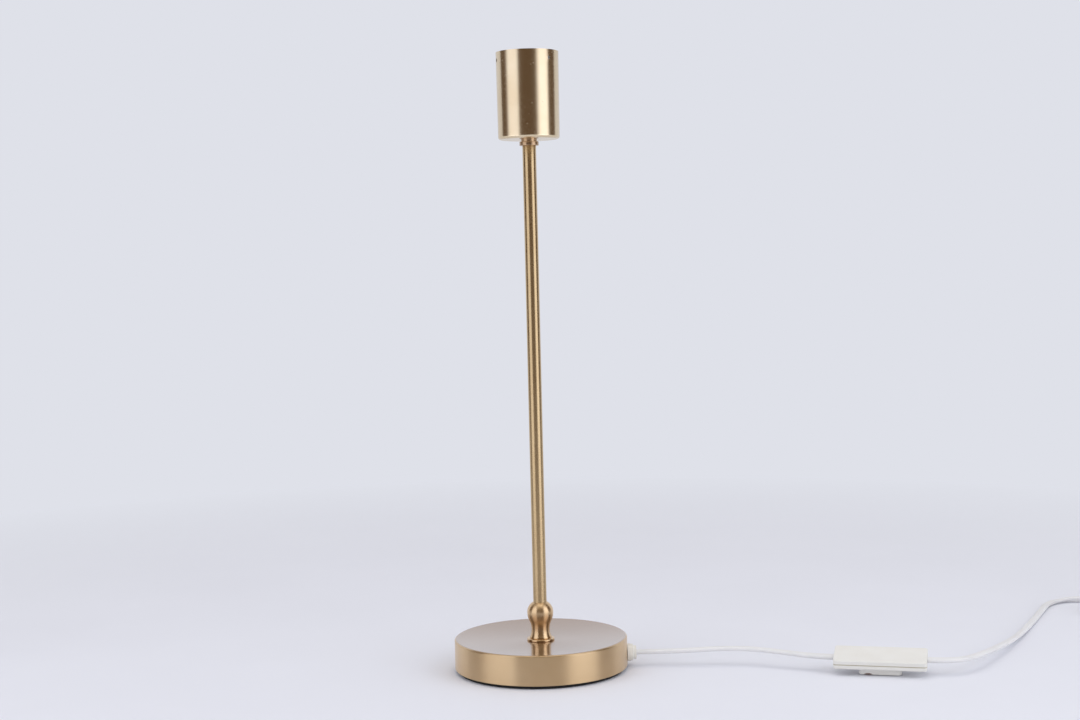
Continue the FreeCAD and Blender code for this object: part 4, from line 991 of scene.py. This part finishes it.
def cord_section(steps=8):
    """The flat cord's outline as (across, thick) in metres: round sides and grooved flats."""
    radius = CORD_THICKNESS / 2 * MM
    half = CORD_WIDTH / 2 * MM - radius
    points = []
    for side in (1, -1):
        for number in range(steps + 1):
            angle = math.pi * number / steps - math.pi / 2
            across = half + radius * math.cos(angle)
            points.append((side * across, side * radius * math.sin(angle)))
        points.append((side * half * GROOVE_SHARE, side * (radius - CORD_GROOVE * MM)))
    return points


def flat_cord(name, points, stations, nodes):
    """A flat cord swept along its route, with its line and its length in metres.

    Stations (millimetres, degrees) give how far its section is tipped on edge.
    """
    line = spline_line(name + "_guide", points)
    section = cord_section()
    vertices = []
    travelled = 0.0
    for number, centre in enumerate(line):
        before, after = line[max(number - 1, 0)], line[min(number + 1, len(line) - 1)]
        travelled += (centre - before).length
        along = (after - before).normalized()
        aside = along.cross(UP).normalized()
        over = aside.cross(along)
        tip = math.radians(station_value(stations, travelled / MM))
        wide = aside * math.cos(tip) + over * math.sin(tip)
        thick = over * math.cos(tip) - aside * math.sin(tip)
        vertices += [centre + wide * a + thick * b for a, b in section]
    count = len(section)
    faces = []
    for number in range(len(line) - 1):
        one, two = number * count, (number + 1) * count
        for step in range(count):
            following = (step + 1) % count
            faces.append((one + step, one + following, two + following, two + step))
    faces.append(tuple(reversed(range(count))))
    faces.append(tuple(range((len(line) - 1) * count, len(line) * count)))
    mesh = bpy.data.meshes.new(name)
    mesh.from_pydata(vertices, [], faces)
    mesh.shade_smooth()
    mesh.set_sharp_from_angle(angle=math.radians(CORD_SHARP))
    return new_piece(name, mesh, white_cord, nodes), line, travelled


def make_cords():
    """The lead from the grip to the switch, and the run from the switch through the coil."""
    centre = Vector(SWITCH_CENTRE)
    along = Vector((math.cos(SWITCH_YAW), math.sin(SWITCH_YAW), 0))
    arrives, leaves = centre - along * SWITCH_LENGTH / 2, centre + along * SWITCH_LENGTH / 2
    tipped = -math.degrees(SWITCH_ROLL)

    start = Vector((GRIP_INNER_END, 0, CORD_RISE))
    points = [start, *LEAD_MIDDLE, arrives - along * LEAD_END_RUN, arrives]
    stations = [(0, 0), (LEAD_FLAT_TO, 0), (LEAD_TIPPED_AT, tipped)]
    lead, line, length = flat_cord("lead_cord", points, stations, ["cord_lead"])

    turns = coil_points()
    heading = (turns[-1] - turns[-2]).normalized()
    tail_start = turns[-1] + Vector((heading.x, heading.y, 0)) * TAIL_FIRST_RUN
    first = leaves + along * RUN_FIRST_RUN
    points = [leaves, first, *RUN_MIDDLE, *turns, tail_start, *TAIL_MIDDLE, PLUG_END]
    mean_radius = COIL_RADIUS - MEAN_TURN * COIL_PITCH
    coil_length = 2 * math.pi * mean_radius * (TURNS_IN + CLIMB_TURNS + TURNS_OUT)
    stations = [
        (0, tipped),
        (RUN_FLAT_AT, 0),
        (RUN_FLAT_TO, 0),
        (RUN_ON_EDGE_AT, ON_EDGE),
        (COIL_AT + coil_length - COIL_EASE, ON_EDGE),
        (TAIL_FLAT_AT, 0),
    ]
    stood_for = ["cord_run", "cord_coil", "cord_tail"]
    run, line, length = flat_cord("run_cord", points, stations, stood_for)


# Making everything

make_camera()
make_light()
make_world()
make_floor()
paint_nodes()
make_cords()
make_base()
make_foot()
make_stem()
make_screw_shell()
